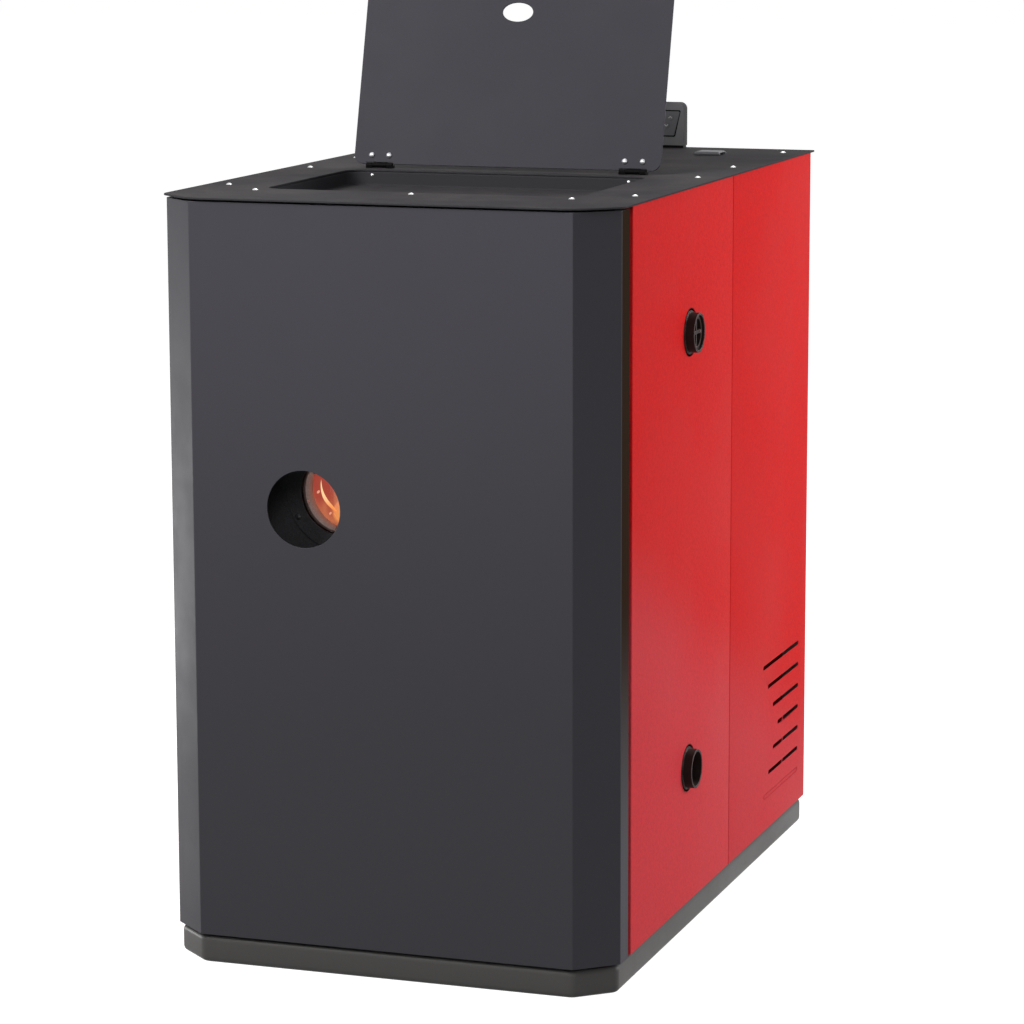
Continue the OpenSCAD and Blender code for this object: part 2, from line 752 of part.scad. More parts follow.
module glass_ring() color(iron) {
    ring_out = glass_d/2 + 16;
    screw_at = ring_out - 8;
    along_y(fire_y0 - ring_t, fire_y0) translate([glass_x, glass_z]) difference() {
        circle(ring_out);
        circle(ring_in_d/2);
    }
    for (a = [30:60:330])
        translate([glass_x + screw_at*cos(a), fire_y0 - ring_t, glass_z + screw_at*sin(a)])
            rotate([90, 0, 0]) dome(4, 2.5);
}

module door_rope() color("#c9c2b4") along_y(fire_y1 - 2.2, jacket_y - gap) difference() {
    rope_outline(0);
    rope_outline(-rope_w);
}

module fire_door_knob() color("#6b6d70") {
    x = fire_x + fire_w/2 - 30;
    rod_y(9, x, fire_y0 - 30, fire_y0, view_z);
    translate([x, fire_y0 - 30, view_z]) rotate([90, 0, 0]) rotate_extrude() {
        square([17, 9]);
        translate([17, 4.5]) circle(4.5);
    }
}

// Hinge brackets with upright pins, and the roller catch on the other side
module fire_door_fittings() color(zinc) {
    for (z = fire_lugs) {
        z0 = view_z + z - 10 - gap;
        slab(z0, z0 + 10) {
            translate([fire_pin_x, fire_y0]) circle(fire_lug_r);
            polygon(rect_pts(fire_pin_x - fire_lug_r, fire_pin_x + fire_lug_r, fire_y0, tray_plate_y));
        }
        rod_z(fire_pin_r, fire_pin_x, fire_y0, z0, z0 + 10 + fire_lug_h + 4);
    }
    catch_x = fire_x + fire_w/2 + 1;
    for (z = [view_z - 22, view_z + 18]) box(catch_x, catch_x + 16, fire_y0 - 7, tray_plate_y, z, z + 4);
    box(catch_x + 13, catch_x + 16, fire_y0 - 7, tray_plate_y, view_z - 22, view_z + 22);
    rod_z(5, catch_x + 6, fire_y0, view_z - 19, view_z + 19);
}

// Welded water jacket: outer shell, chambers and sleeves, with the water space between
module tube_bank() for (i = [0:tube_cols-1], j = [0:tube_rows-1])
    translate([bank_x0 + 40 + i*(bank_x1 - bank_x0 - 80)/(tube_cols - 1),
               firebox_y0 + 46 + j*(gas_y1 - firebox_y0 - 92)/(tube_rows - 1), 0]) children();

// Hollow spaces of the boiler, grown by g where a wall goes round them
module boiler_chambers(g) {
    over = g > 0 ? 0 : thru;
    box(firebox_x0 - g, firebox_x1 + g, firebox_y0 - g, firebox_y1 + g, firebox_z0 - g, gas_z0 + thru);
    box(firebox_x0 - g, bank_x1 + g, firebox_y0 - g, gas_y1 + g, gas_z0 - g, gas_z1 + g);
    box(fire_x - ash_w/2 - g, fire_x + ash_w/2 + g, jacket_y - over, ash_y1 + g, ash_z0 - g, ash_z1 + g);
    box(bank_x0 - g, bank_x1 + g, firebox_y0 - g, gas_y1 + g, jacket_z0 + 20 - g, smoke_z1 + g);
    box(bank_x0 + 10 - g, bank_x1 - 10 + g, firebox_y0 + 10 - g, gas_y1 - 10 + g,
        gas_z1 - g, jacket_z1 + over);
    along_y(jacket_y - over, firebox_y0) translate([fire_x, view_z])
        polygon(rounded(rect_pts(-mouth_w/2 - g, mouth_w/2 + g, -mouth_h/2 - g, mouth_h/2 + g), 12 + g));
    rod_z(pot_d/2 + 6 + g, fire_x, pot_y, ash_z1, firebox_z0);
    rod_y(feed_r + gap + g, fire_x, firebox_y1 - thru, jacket_y1 + over, feed_z);
    rod_y(7 + gap + g, fire_x, firebox_y1 - thru, jacket_y1 + over, igniter_z);
    rod_y(flue_d/2 - 5 + g, flue_x, gas_y1 - thru, jacket_y1 + over, flue_z);
    box(fan_x - scroll_w/2 + sheet - g, fan_x + scroll_w/2 - sheet + g, ash_y1 - thru, jacket_y1 + over,
        fan_z - scroll_r1 - g, fan_z - scroll_r1 + duct_h + g);
}

igniter_z = firebox_z0 + 15;

module boiler_body() color("#5b5c5e") {
    difference() {
        union() {
            difference() {
                box(-jacket_x, jacket_x, jacket_y, jacket_y1, jacket_z0, jacket_z1);
                box(-jacket_x + jacket_t, jacket_x - jacket_t, jacket_y + jacket_t, jacket_y1 - jacket_t,
                    jacket_z0 + jacket_t, jacket_z1 - jacket_t);
            }
            boiler_chambers(jacket_t);
        }
        boiler_chambers(0);
        tube_bank() slab(smoke_z1 - thru, gas_z0 + thru) circle(tube_d/2 + 4 + run);
        for (z = [flow_z, return_z])
            rod_x(pipe_bore_d/2, jacket_x - jacket_t - thru, jacket_x + thru, -pipe_front, z);
    }
    foot = 70;
    for (x = [-jacket_x, jacket_x - foot], y = [jacket_y, jacket_y1 - foot])
        box(x, x + foot, y, y + foot, base_z, jacket_z0);
}

// Tubes of the exchanger, rolled into the sheets over the smoke chamber and under the gas chamber
module exchanger_tubes() color("#5b5c5e") tube_bank() slab(smoke_z1, gas_z0) difference() {
    circle(tube_d/2 + 4);
    circle(tube_d/2);
}

// Boards on both sides and over the top, with holes for the sockets and the exchanger cover
module insulation() color("#c8b878") {
    y0 = jacket_y + 2;
    y1 = jacket_y1 - 2;
    difference() {
        box(jacket_x, jacket_x + board_t, y0, y1, jacket_z0, jacket_z1);
        for (z = [flow_z, return_z])
            rod_x(collar_r + 3, jacket_x - thru, jacket_x + board_t + thru, -pipe_front, z);
    }
    box(-jacket_x - board_t, -jacket_x, y0, y1, jacket_z0, jacket_z1);
    difference() {
        box(-jacket_x - board_t, jacket_x + board_t, y0, y1, jacket_z1 + gap, jacket_z1 + board_t);
        box(bank_x0 - 20, bank_x1 + 20, firebox_y0 - 20, gas_y1 + 20, jacket_z1, jacket_z1 + board_t + thru);
    }
}

collar_r = pipe_d/2 + 3;

// Fire-proof plates round the lower firebox
module firebox_lining() color("#d2c4a0") difference() {
    box(firebox_x0 + gap, firebox_x1 - gap, firebox_y0 + 5, firebox_y1 - gap,
        firebox_z0, view_z - mouth_h/2 + 40);
    box(firebox_x0 + lining_t, firebox_x1 - lining_t, firebox_y0, firebox_y1 - lining_t,
        firebox_z0 - thru, view_z);
    rod_y(feed_r + 2, fire_x, firebox_y1 - 2*lining_t, firebox_y1 + thru, feed_z);
    rod_y(9, fire_x, firebox_y1 - 2*lining_t, firebox_y1 + thru, igniter_z);
}

// Cast pot with a slotted grate in its floor and a ring of air holes
module burner_pot() color(iron) translate([fire_x, pot_y, 0]) difference() {
    union() {
        translate([0, 0, pot_z1 - pot_h]) cylinder(d = pot_d, h = pot_h);
        translate([0, 0, firebox_z0]) cylinder(r = pot_flange, h = 6);
    }
    translate([0, 0, pot_z1 - pot_h + 8]) cylinder(d = pot_d - 2*pot_wall, h = pot_h);
    grate_r = pot_d/2 - pot_wall - 8;
    for (x = [-36:12:36]) let (half = sqrt(grate_r*grate_r - x*x))
        box(x - 2, x + 2, -half, half, pot_z1 - pot_h - thru, pot_z1 - pot_h + 9);
    for (i = [0:pot_holes-1]) rotate((i + 0.5)*360/pot_holes)
        translate([pot_d/2 + thru, 0, pot_z1 - 16]) rotate([0, -90, 0])
            cylinder(r = 3.5, h = pot_wall + 2*thru, $fn = 24);
}

module igniter() color("silver") {
    rod_y(7, fire_x, pot_y + pot_d/2 + 0.5, jacket_y1, igniter_z);
    rod_y(15, fire_x, jacket_y1, jacket_y1 + 12, igniter_z);
    rod_y(5, fire_x, jacket_y1 + 12, jacket_y1 + 22, igniter_z);
}

module ash_drawer() color("#77787a") {
    x0 = fire_x - drawer_w/2;
    x1 = fire_x + drawer_w/2;
    y0 = tray_plate_y - gap;
    z0 = ash_z0 + gap;
    difference() {
        box(x0, x1, y0 - 2, y0 + drawer_l, z0, z0 + drawer_h);
        box(x0 + skin_t, x1 - skin_t, y0, y0 + drawer_l - skin_t, z0 + skin_t, z0 + drawer_h + thru);
    }
    along_y(y0 - 8, y0) polygon(rounded(rect_pts(x0 - 20, x1 + 20, ash_z0 - 14, ash_z1 + 12), 8));
    for (x = [fire_x - 50, fire_x + 50]) rod_y(5, x, y0 - 34, y0 - 8, z0 + drawer_h/2);
    rod_x(7, fire_x - 62, fire_x + 62, y0 - 34, z0 + drawer_h/2);
}

// Twisted strips that hang in the exchanger tubes from a cross pin
module turbulators() color("#8a6a4a") tube_bank() {
    strip = tube_d - 10;
    length = gas_z0 - smoke_z1 - 20;
    translate([0, 0, gas_z0 - length]) linear_extrude(length, twist = 540, slices = 18, $fn = 4)
        square([strip, 3], center = true);
    translate([0, 0, gas_z0]) linear_extrude(6) square([tube_d + 10, 6], center = true);
}

module exchanger_cover() color("#6a6b6d") {
    x0 = bank_x0 - 5;
    x1 = bank_x1 + 12;
    y0 = firebox_y0 - 6;
    y1 = gas_y1 + 6;
    box(x0, x1, y0, y1, jacket_z1, jacket_z1 + 8);
    for (y = [y0 + 40, y1 - 40]) translate([(x0 + x1)/2, y, jacket_z1 + 8]) {
        cylinder(r = 6, h = 14);
        translate([0, 0, 14]) cylinder(r = 16, h = 10, $fn = 6);
    }
}

module flue_pipe() color("#3c3c3e") difference() {
    union() {
        rod_y(flue_d/2 + 14, flue_x, jacket_y1, jacket_y1 + 6, flue_z);
        rod_y(flue_d/2, flue_x, jacket_y1, rear_y + flue_out, flue_z);
        rod_y(flue_d/2 + 5, flue_x, rear_y - 3, rear_y + 2, flue_z);
    }
    rod_y(flue_d/2 - flue_wall, flue_x, jacket_y1 - thru, rear_y + flue_out + thru, flue_z);
}

module pipe_socket(z) difference() {
    union() {
        rod_x(collar_r, jacket_x, hw, -pipe_front, z);
        rod_x(pipe_d/2, jacket_x, hw + pipe_out, -pipe_front, z);
    }
    rod_x(pipe_bore_d/2, jacket_x - thru, hw + pipe_out + thru, -pipe_front, z);
}

module flow_socket() color(black) pipe_socket(flow_z);
module return_socket() color(black) pipe_socket(return_z);

// Plug in the flow socket, with a recess and a cross web for the key
module flow_plug() color(black) {
    r = pipe_bore_d/2 - run;
    x1 = hw + pipe_out - 4;
    web = 5;
    difference() {
        rod_x(r, x1 - 22, x1, -pipe_front, flow_z);
        rod_x(r - 5, x1 - 10, x1 + thru, -pipe_front, flow_z);
    }
    for (a = [0, 90]) translate([0, -pipe_front, flow_z]) rotate([a, 0, 0])
        box(x1 - 10, x1 - 1, -r + 4, r - 4, -web/2, web/2);
}

// Hopper: the meeting of its front and side profiles, so all four slopes stay flat sheets
module hopper_shape(g, z0, z1) {
    side_bend = neck_z + 405;
    front_bend = neck_z + 105;
    rear_bend = neck_z + 205;
    intersection() {
        along_y(hopper_y0 + g, hopper_y1 - g) polygon([
            [-rail_x0 + g, z1], [-rail_x0 + g, side_bend],
            [fire_x - spout_w/2 + g, neck_z], [fire_x - spout_w/2 + g, z0],
            [fire_x + spout_w/2 - g, z0], [fire_x + spout_w/2 - g, neck_z],
            [rail_x0 - g, side_bend], [rail_x0 - g, z1]]);
        along_x(-rail_x0, rail_x0) polygon([
            [hopper_y0 + g, z1], [hopper_y0 + g, front_bend], [spout_y0 + g, neck_z], [spout_y0 + g, z0],
            [spout_y1 - g, z0], [spout_y1 - g, neck_z], [hopper_y1 - g, rear_bend], [hopper_y1 - g, z1]]);
    }
}

module hopper() color("#8f9194") difference() {
    union() {
        hopper_shape(0, neck_z - 3, plate_z);
        box(fire_x - spout_w/2 - 15, fire_x + spout_w/2 + 15, spout_y0 - 15, spout_y1 + 15,
            neck_z - 3, neck_z);
    }
    hopper_shape(skin_t, neck_z - 3 - thru, plate_z + thru);
}

// Folded lid over the hopper, with an inner lip and a pull
module hopper_lid() color(steel_dark) {
    x1 = fill_w/2 + cover_over;
    y0 = fill_y0 - cover_over;
    y1 = fill_y1 + cover_over;
    z0 = case_h + 0.4;
    slab(z0, z0 + cover_t) polygon(rounded(rect_pts(-x1, x1, y0, y1), 8));
    slab(z0 - 9, z0) difference() {
        polygon(rounded(rect_pts(-fill_w/2 + 2, fill_w/2 - 2, fill_y0 + 2, fill_y1 - 2), 6));
        polygon(rounded(rect_pts(-fill_w/2 + 3.5, fill_w/2 - 3.5, fill_y0 + 3.5, fill_y1 - 3.5), 4.5));
    }
    for (x = [-50, 50]) rod_z(4, x, y0 + 25, z0 + cover_t, z0 + cover_t + 18);
    rod_x(4, -60, 60, y0 + 25, z0 + cover_t + 18);
    half = cover_block_w/2 - cover_cheek_w - gap;
    for (s = [-1, 1]) translate([s*cover_hinge_x, cover_ay, cover_az]) along_x(-half, half) difference() {
        union() {
            circle(cover_knuckle_r);
            polygon(rect_pts(-25, 0, z0 + cover_t - cover_az, z0 + cover_t - cover_az + 1.8));
        }
        circle(cover_pin_r + run);
    }
}

module hopper_hinge_blocks() color(black) for (s = [-1, 1])
    translate([s*cover_hinge_x, cover_ay, cover_az]) {
        for (x = [-cover_block_w/2, cover_block_w/2 - cover_cheek_w])
            along_x(x, x + cover_cheek_w) {
                circle(cover_knuckle_r);
                translate([-cover_knuckle_r, case_h - cover_az])
                    square([cover_knuckle_r + 10, cover_az - case_h]);
            }
        rod_x(cover_pin_r, -cover_block_w/2, cover_block_w/2, 0, 0);
    }

// Feed tube with the neck under the hopper and the bearing at its rear end
module auger_tube() color("#7d7f82") difference() {
    neck = spout_w/2 + 3;
    union() {
        rod_y(feed_r, fire_x, feed_y0, feed_y1, feed_z);
        box(fire_x - neck, fire_x + neck, spout_y0 - 3, spout_y1 + 3, feed_z, neck_z - 6);
        box(fire_x - neck - 12, fire_x + neck + 12, spout_y0 - 15, spout_y1 + 15, neck_z - 6, neck_z - 3);
        box(fire_x - 45, fire_x + 45, feed_y1 - feed_end, feed_y1, feed_z - 45, feed_z + 45);
    }
    rod_y(feed_r - feed_wall, fire_x, feed_y0 - thru, feed_y1 - feed_end, feed_z);
    rod_y(shaft_r + run, fire_x, feed_y0, feed_y1 + thru, feed_z);
    box(fire_x - spout_w/2, fire_x + spout_w/2, spout_y0, spout_y1, feed_z, neck_z);
}

// Screw: a thin helical flight welded round a shaft
module feed_auger() color("#9a9ca0") {
    rod_y(shaft_r, fire_x, screw_y0 - 5, shaft_end, feed_z);
    r = feed_r - feed_wall - screw_gap;
    length = screw_y1 - screw_y0;
    turns = length/screw_pitch;
    half = 12;
    translate([fire_x, screw_y1, feed_z]) rotate([90, 0, 0])
        linear_extrude(length, twist = -360*turns, slices = ceil(18*turns), $fn = 5)
            polygon([for (a = [-half, half]) (shaft_r + 0.2)*[cos(a), sin(a)],
                     for (a = [half, 0, -half]) r*[cos(a), sin(a)]]);
}

module gear_motor() color("#55585c") {
    case_l = 40;
    difference() {
        union() {
            along_y(feed_y1, feed_y1 + case_l) polygon(rounded(
                rect_pts(fire_x - 45, fire_x + 45, feed_z - 45, feed_z + 65), 10));
            rod_y(32, fire_x, feed_y1 + case_l, feed_y1 + case_l + 48, feed_z + 28);
            for (y = [6:8:38])
                rod_y(35, fire_x, feed_y1 + case_l + y, feed_y1 + case_l + y + 3, feed_z + 28);
        }
        rod_y(shaft_r + run, fire_x, feed_y1 - thru, shaft_end + 2, feed_z);
    }
}

// Scroll of the blower: a spiral that opens into the duct to the boiler
module scroll(g) {
    steps = 36;
    polygon([for (i = [0:steps])
        let (a = 270 - 360*i/steps, r = scroll_r0 + (scroll_r1 - scroll_r0)*i/steps + g)
        [fan_y + r*cos(a), fan_z + r*sin(a)]]);
    polygon(rect_pts(jacket_y1 - (g > 0 ? 0 : thru), fan_y,
        fan_z - scroll_r1 - g, fan_z - scroll_r1 + duct_h + g));
}

module blower_housing() color("#8d9093") {
    x0 = fan_x - scroll_w/2;
    x1 = fan_x + scroll_w/2;
    difference() {
        along_x(x0, x1) scroll(sheet);
        along_x(x0 + sheet, x1 - sheet) scroll(0);
        rod_x(fan_r - 18, x1 - 2*sheet, x1 + thru, fan_y, fan_z);
        rod_x(6, x0 - thru, x0 + 2*sheet, fan_y, fan_z);
    }
    for (x = [x0, x1 - sheet]) difference() {
        box(x, x + sheet, fan_y - 30, fan_y + 30, base_z, fan_z - scroll_r1);
        along_x(x - thru, x + sheet + thru) scroll(sheet);
    }
    box(x0, x1, fan_y - 30, fan_y + 30, base_z, base_z + sheet);
}

// Impeller with forward-curved blades between a back disc and a front ring
module blower_impeller() color("#b0b3b6") translate([fan_x - fan_w/2, fan_y, fan_z]) {
    difference() {
        union() {
            along_x(0, sheet) circle(fan_r);
            along_x(0, fan_w) circle(12);
        }
        along_x(-thru, fan_w + thru) circle(4);
    }
    along_x(fan_w - sheet, fan_w) difference() {
        circle(fan_r);
        circle(fan_r - 15);
    }
    r = fan_r;
    along_x(sheet, fan_w - sheet) for (i = [0:fan_blades-1]) rotate(i*360/fan_blades)
        polygon([[r - 14, 0], [r - 7, 2.2], [r - 2.2, 8], [r - 3.4, 8.8], [r - 7.8, 3.4], [r - 14, 1.3]]);
}

module blower_motor() color("#4a4d50") {
    x1 = fan_x - scroll_w/2;
    rod_x(34, x1 - 46, x1, fan_y, fan_z);
    rod_x(20, x1 - 52, x1 - 46, fan_y, fan_z);
    rod_x(4 - run, x1, fan_x + fan_w/2 - 4, fan_y, fan_z);
}

module control_box() color("#d8d8d4") {
    y1 = rear_y - skin_t;
    difference() {
        along_y(y1 - 70, y1) polygon(rounded(rect_pts(-40, 90, feed_z - 90, feed_z + 60), 6));
        for (x = [-25:20:75]) rod_z(5, x, y1 - 35, feed_z - 91, feed_z - 78);
    }
    for (x = [-25:20:75]) difference() {
        rod_z(7, x, y1 - 35, feed_z - 98, feed_z - 90);
        rod_z(4, x, y1 - 35, feed_z - 99, feed_z - 89);
    }
}

inlet_x = 210;
inlet_z = feed_z + 20;
inlet_w = 48;
inlet_h = 60;
rocker_z = inlet_z + 14;
rocker_r = 13.6;

// Mains inlet with three blades and the opening for the rocker
module mains_inlet() color(black) difference() {
    union() {
        box(inlet_x - inlet_w/2, inlet_x + inlet_w/2, rear_y - 30, rear_y,
            inlet_z - inlet_h/2, inlet_z + inlet_h/2);
        along_y(rear_y, rear_y + 2.5) translate([inlet_x, inlet_z])
            polygon(rounded(rect_pts(-inlet_w/2 - 5, inlet_w/2 + 5, -inlet_h/2 - 5, inlet_h/2 + 5), 4));
    }
    difference() {
        box(inlet_x - 14, inlet_x + 14, rear_y - 18, rear_y + 3, inlet_z - 25, inlet_z - 5);
        for (x = [-8, 0, 8])
            box(inlet_x + x - 1, inlet_x + x + 1, rear_y - 19, rear_y - 2, inlet_z - 18, inlet_z - 12);
    }
    box(inlet_x - 10.5, inlet_x + 10.5, rear_y - 16, rear_y + 3, rocker_z - rocker_r, rocker_z + rocker_r);
    rod_x(1.5 + run, inlet_x - 14, inlet_x + 14, rear_y - 4, rocker_z);
}

module mains_switch() color("#a01818") translate([inlet_x, rear_y - 4, rocker_z]) {
    along_x(-10, 10) polygon([[-7, -4], [0, -11], [9.5, -9.5], [6.2, 0], [7.5, 11], [0, 11], [-7, 4]]);
    rod_x(1.5, -13.5, 13.5, 0, 0);
}

// Console that stands upright at the rear edge of the top plate
module console_outline() polygon(rounded(
    rect_pts(-console_w/2, console_w/2, case_h + console_foot_h, case_h + console_h),
    [1, 1, console_r, console_r]));
module facia_outline(g) {
    x1 = console_w/2 - facia_side;
    polygon(rounded([[-x1 + facia_lean + g, facia_z0 + g], [x1 - facia_lean - g, facia_z0 + g],
                     [x1 - g, facia_z1 - g], [-x1 + g, facia_z1 - g]], 2));
}
module at_keys() for (s = [-1, 1], i = [0, 1]) translate([s*key_x[i], 0, key_z[i]]) children();
module display_outline(g) polygon(rounded(
    rect_pts(-62 - g, 62 + g, facia_z0 + 8 - g, facia_z1 - 8 + g), 2 + g));

module console() color(steel_dark) difference() {
    along_y(console_y0, console_y1) console_outline();
    along_y(console_y0 - thru, console_y0 + facia_t + 0.4) facia_outline(0);
    at_keys() rod_y(key_d/2 + 0.4, 0, console_y0, console_y0 + 6, 0);
}

module console_foot() color(black)
    box(-console_w/2 + 1.5, console_w/2 - 1.5, console_y0 + 1.5, console_y1 - 1.5,
        case_h, case_h + console_foot_h);

module facia() color("#3b3b3d") difference() {
    along_y(console_y0 + 0.4, console_y0 + 0.4 + facia_t) facia_outline(facia_gap);
    at_keys() rod_y(key_d/2 + gap, 0, console_y0 - thru, console_y0 + 6, 0);
    along_y(console_y0, console_y0 + 1.6) display_outline(0.2);
}

module display_window() color("#101216") along_y(console_y0 + 0.2, console_y0 + 1.6) display_outline(0);

module key(s, i) color("#303032") translate([s*key_x[i], 0, key_z[i]]) {
    rod_y(key_d/2, 0, console_y0 - key_travel + 0.2, console_y0 + 4, 0);
}
module key_menu() key(-1, 0);
module key_back() key(-1, 1);
module key_up() key(1, 0);
module key_down() key(1, 1);

// Outline of the cable cover from a to b, with both upper edges bevelled
function cover_rim(a, b) = [[a, case_h + 1.2], [b, case_h + 1.2], [b, case_h + 3], [b - 3, case_h + 6],
                            [a + 3, case_h + 6], [a, case_h + 3]];

// Pressed cover over the cable hole, raised on its foot and open at its right end
module cable_cover() color(steel_dark) {
    x0 = console_w/2 + 57;
    x1 = x0 + 44;
    y1 = console_y0 - 96;
    y0 = y1 - 40;
    difference() {
        union() {
            intersection() {
                along_x(x0, x1) polygon(cover_rim(y0, y1));
                along_y(y0, y1) polygon(cover_rim(x0, x1));
            }
            box(x0 + 1.5, x1 - 1.5, y0 + 1.5, y1 - 1.5, case_h, case_h + 1.5);
        }
        box(x0 + 8, x1 + 1, y0 + 3.5, y1 - 3.5, case_h - thru, case_h + 4);
    }
}

plinth();
base_plate();
front_frame();
chassis();
right_front_panel();
right_rear_panel();
left_front_panel();
left_rear_panel();
rear_panel();
top_plate();
warming_pan();
screws();
lid_hinge_blocks();
pan_lid();
lid_hinge_leaves();
lid_bolts();
front_door();
door_frame();
door_hinges();
door_magnets();
fire_door();
sight_glass();
glass_ring();
door_rope();
fire_door_knob();
fire_door_fittings();
boiler_body();
insulation();
firebox_lining();
burner_pot();
igniter();
ash_drawer();
exchanger_tubes();
turbulators();
exchanger_cover();
flue_pipe();
flow_socket();
return_socket();
flow_plug();
hopper();
hopper_lid();
hopper_hinge_blocks();
auger_tube();
feed_auger();
gear_motor();
blower_housing();
blower_impeller();
blower_motor();
control_box();
mains_inlet();
mains_switch();
console();
console_foot();
facia();
display_window();
key_menu();
key_back();
key_up();
key_down();
cable_cover();
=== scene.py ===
"""Looks of a pellet boiler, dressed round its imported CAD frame.

Every sub-assembly is a class that holds its sizes in metres and builds its own pieces. Sheet and cast
parts are copies of the CAD solids with their edges rounded; the plinth, the fire, the pellets, the marks
and the rear panel's screws are modelled here. Every finish is a frozen dataclass that makes one material.
"""

import json
import logging
import math
import random
from collections.abc import Callable
from dataclasses import dataclass
from enum import Enum

import bmesh
import bpy
from mathutils import Matrix, Vector, noise

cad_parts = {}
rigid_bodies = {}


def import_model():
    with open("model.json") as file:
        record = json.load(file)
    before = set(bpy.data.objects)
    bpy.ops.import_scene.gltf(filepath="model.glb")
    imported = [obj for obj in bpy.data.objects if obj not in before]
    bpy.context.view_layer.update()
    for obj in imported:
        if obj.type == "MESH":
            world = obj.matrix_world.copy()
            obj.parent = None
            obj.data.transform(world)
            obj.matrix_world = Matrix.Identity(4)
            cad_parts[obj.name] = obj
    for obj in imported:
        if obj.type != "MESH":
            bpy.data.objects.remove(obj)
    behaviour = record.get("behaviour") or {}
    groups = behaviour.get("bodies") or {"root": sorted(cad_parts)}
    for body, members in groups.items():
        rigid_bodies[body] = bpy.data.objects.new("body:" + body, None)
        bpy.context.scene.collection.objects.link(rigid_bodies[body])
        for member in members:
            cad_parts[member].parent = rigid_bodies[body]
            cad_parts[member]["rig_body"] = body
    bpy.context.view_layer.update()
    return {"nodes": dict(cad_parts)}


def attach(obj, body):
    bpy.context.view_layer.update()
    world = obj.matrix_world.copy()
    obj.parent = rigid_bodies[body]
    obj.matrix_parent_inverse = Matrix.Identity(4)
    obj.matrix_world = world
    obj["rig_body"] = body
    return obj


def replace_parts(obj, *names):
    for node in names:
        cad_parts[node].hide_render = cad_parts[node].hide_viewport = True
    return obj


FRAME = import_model()
log = logging.getLogger("pellet_boiler")

Colour = tuple[float, float, float]
Point = tuple[float, float, float]
Pair = tuple[float, float]
Inputs = dict[str | int, object]
Socket = bpy.types.NodeSocket
Sockets = dict[str, Socket]


def linear(red: float, green: float, blue: float) -> Colour:
    """Turns a screen colour, each part 0 to 255, into the scene's linear colour."""
    values = (red / 255, green / 255, blue / 255)
    return tuple(v / 12.92 if v <= 0.04045 else ((v + 0.055) / 1.055) ** 2.4 for v in values)


WHITE = (1, 1, 1, 1)
SOOT_COLOUR = (0.02, 0.018, 0.017, 1)
DUST_COLOUR = (*linear(150, 144, 136), 1)
# brown-orange of scorching with a painted glow of firelight
SCORCH_AND_GLOW_COLOUR = (*linear(168, 104, 82), 1)


def shade(colour: Colour, amount: float) -> tuple[float, float, float, float]:
    """Multiplies a linear colour and gives it as four values for a colour socket."""
    return (*(min(1.0, c * amount) for c in colour), 1.0)


class Effect(Enum):
    """The shared effects, each a node group that is built once."""

    PEEL = "orange_peel"
    EDGES = "worn_edges"
    DUST = "settled_dust"
    CLOUD = "clouding"
    GRAIN = "cast_grain"
    BRUSH = "rolling_lines"
    SPANGLE = "zinc_spangle"
    WEAVE = "braided_strands"


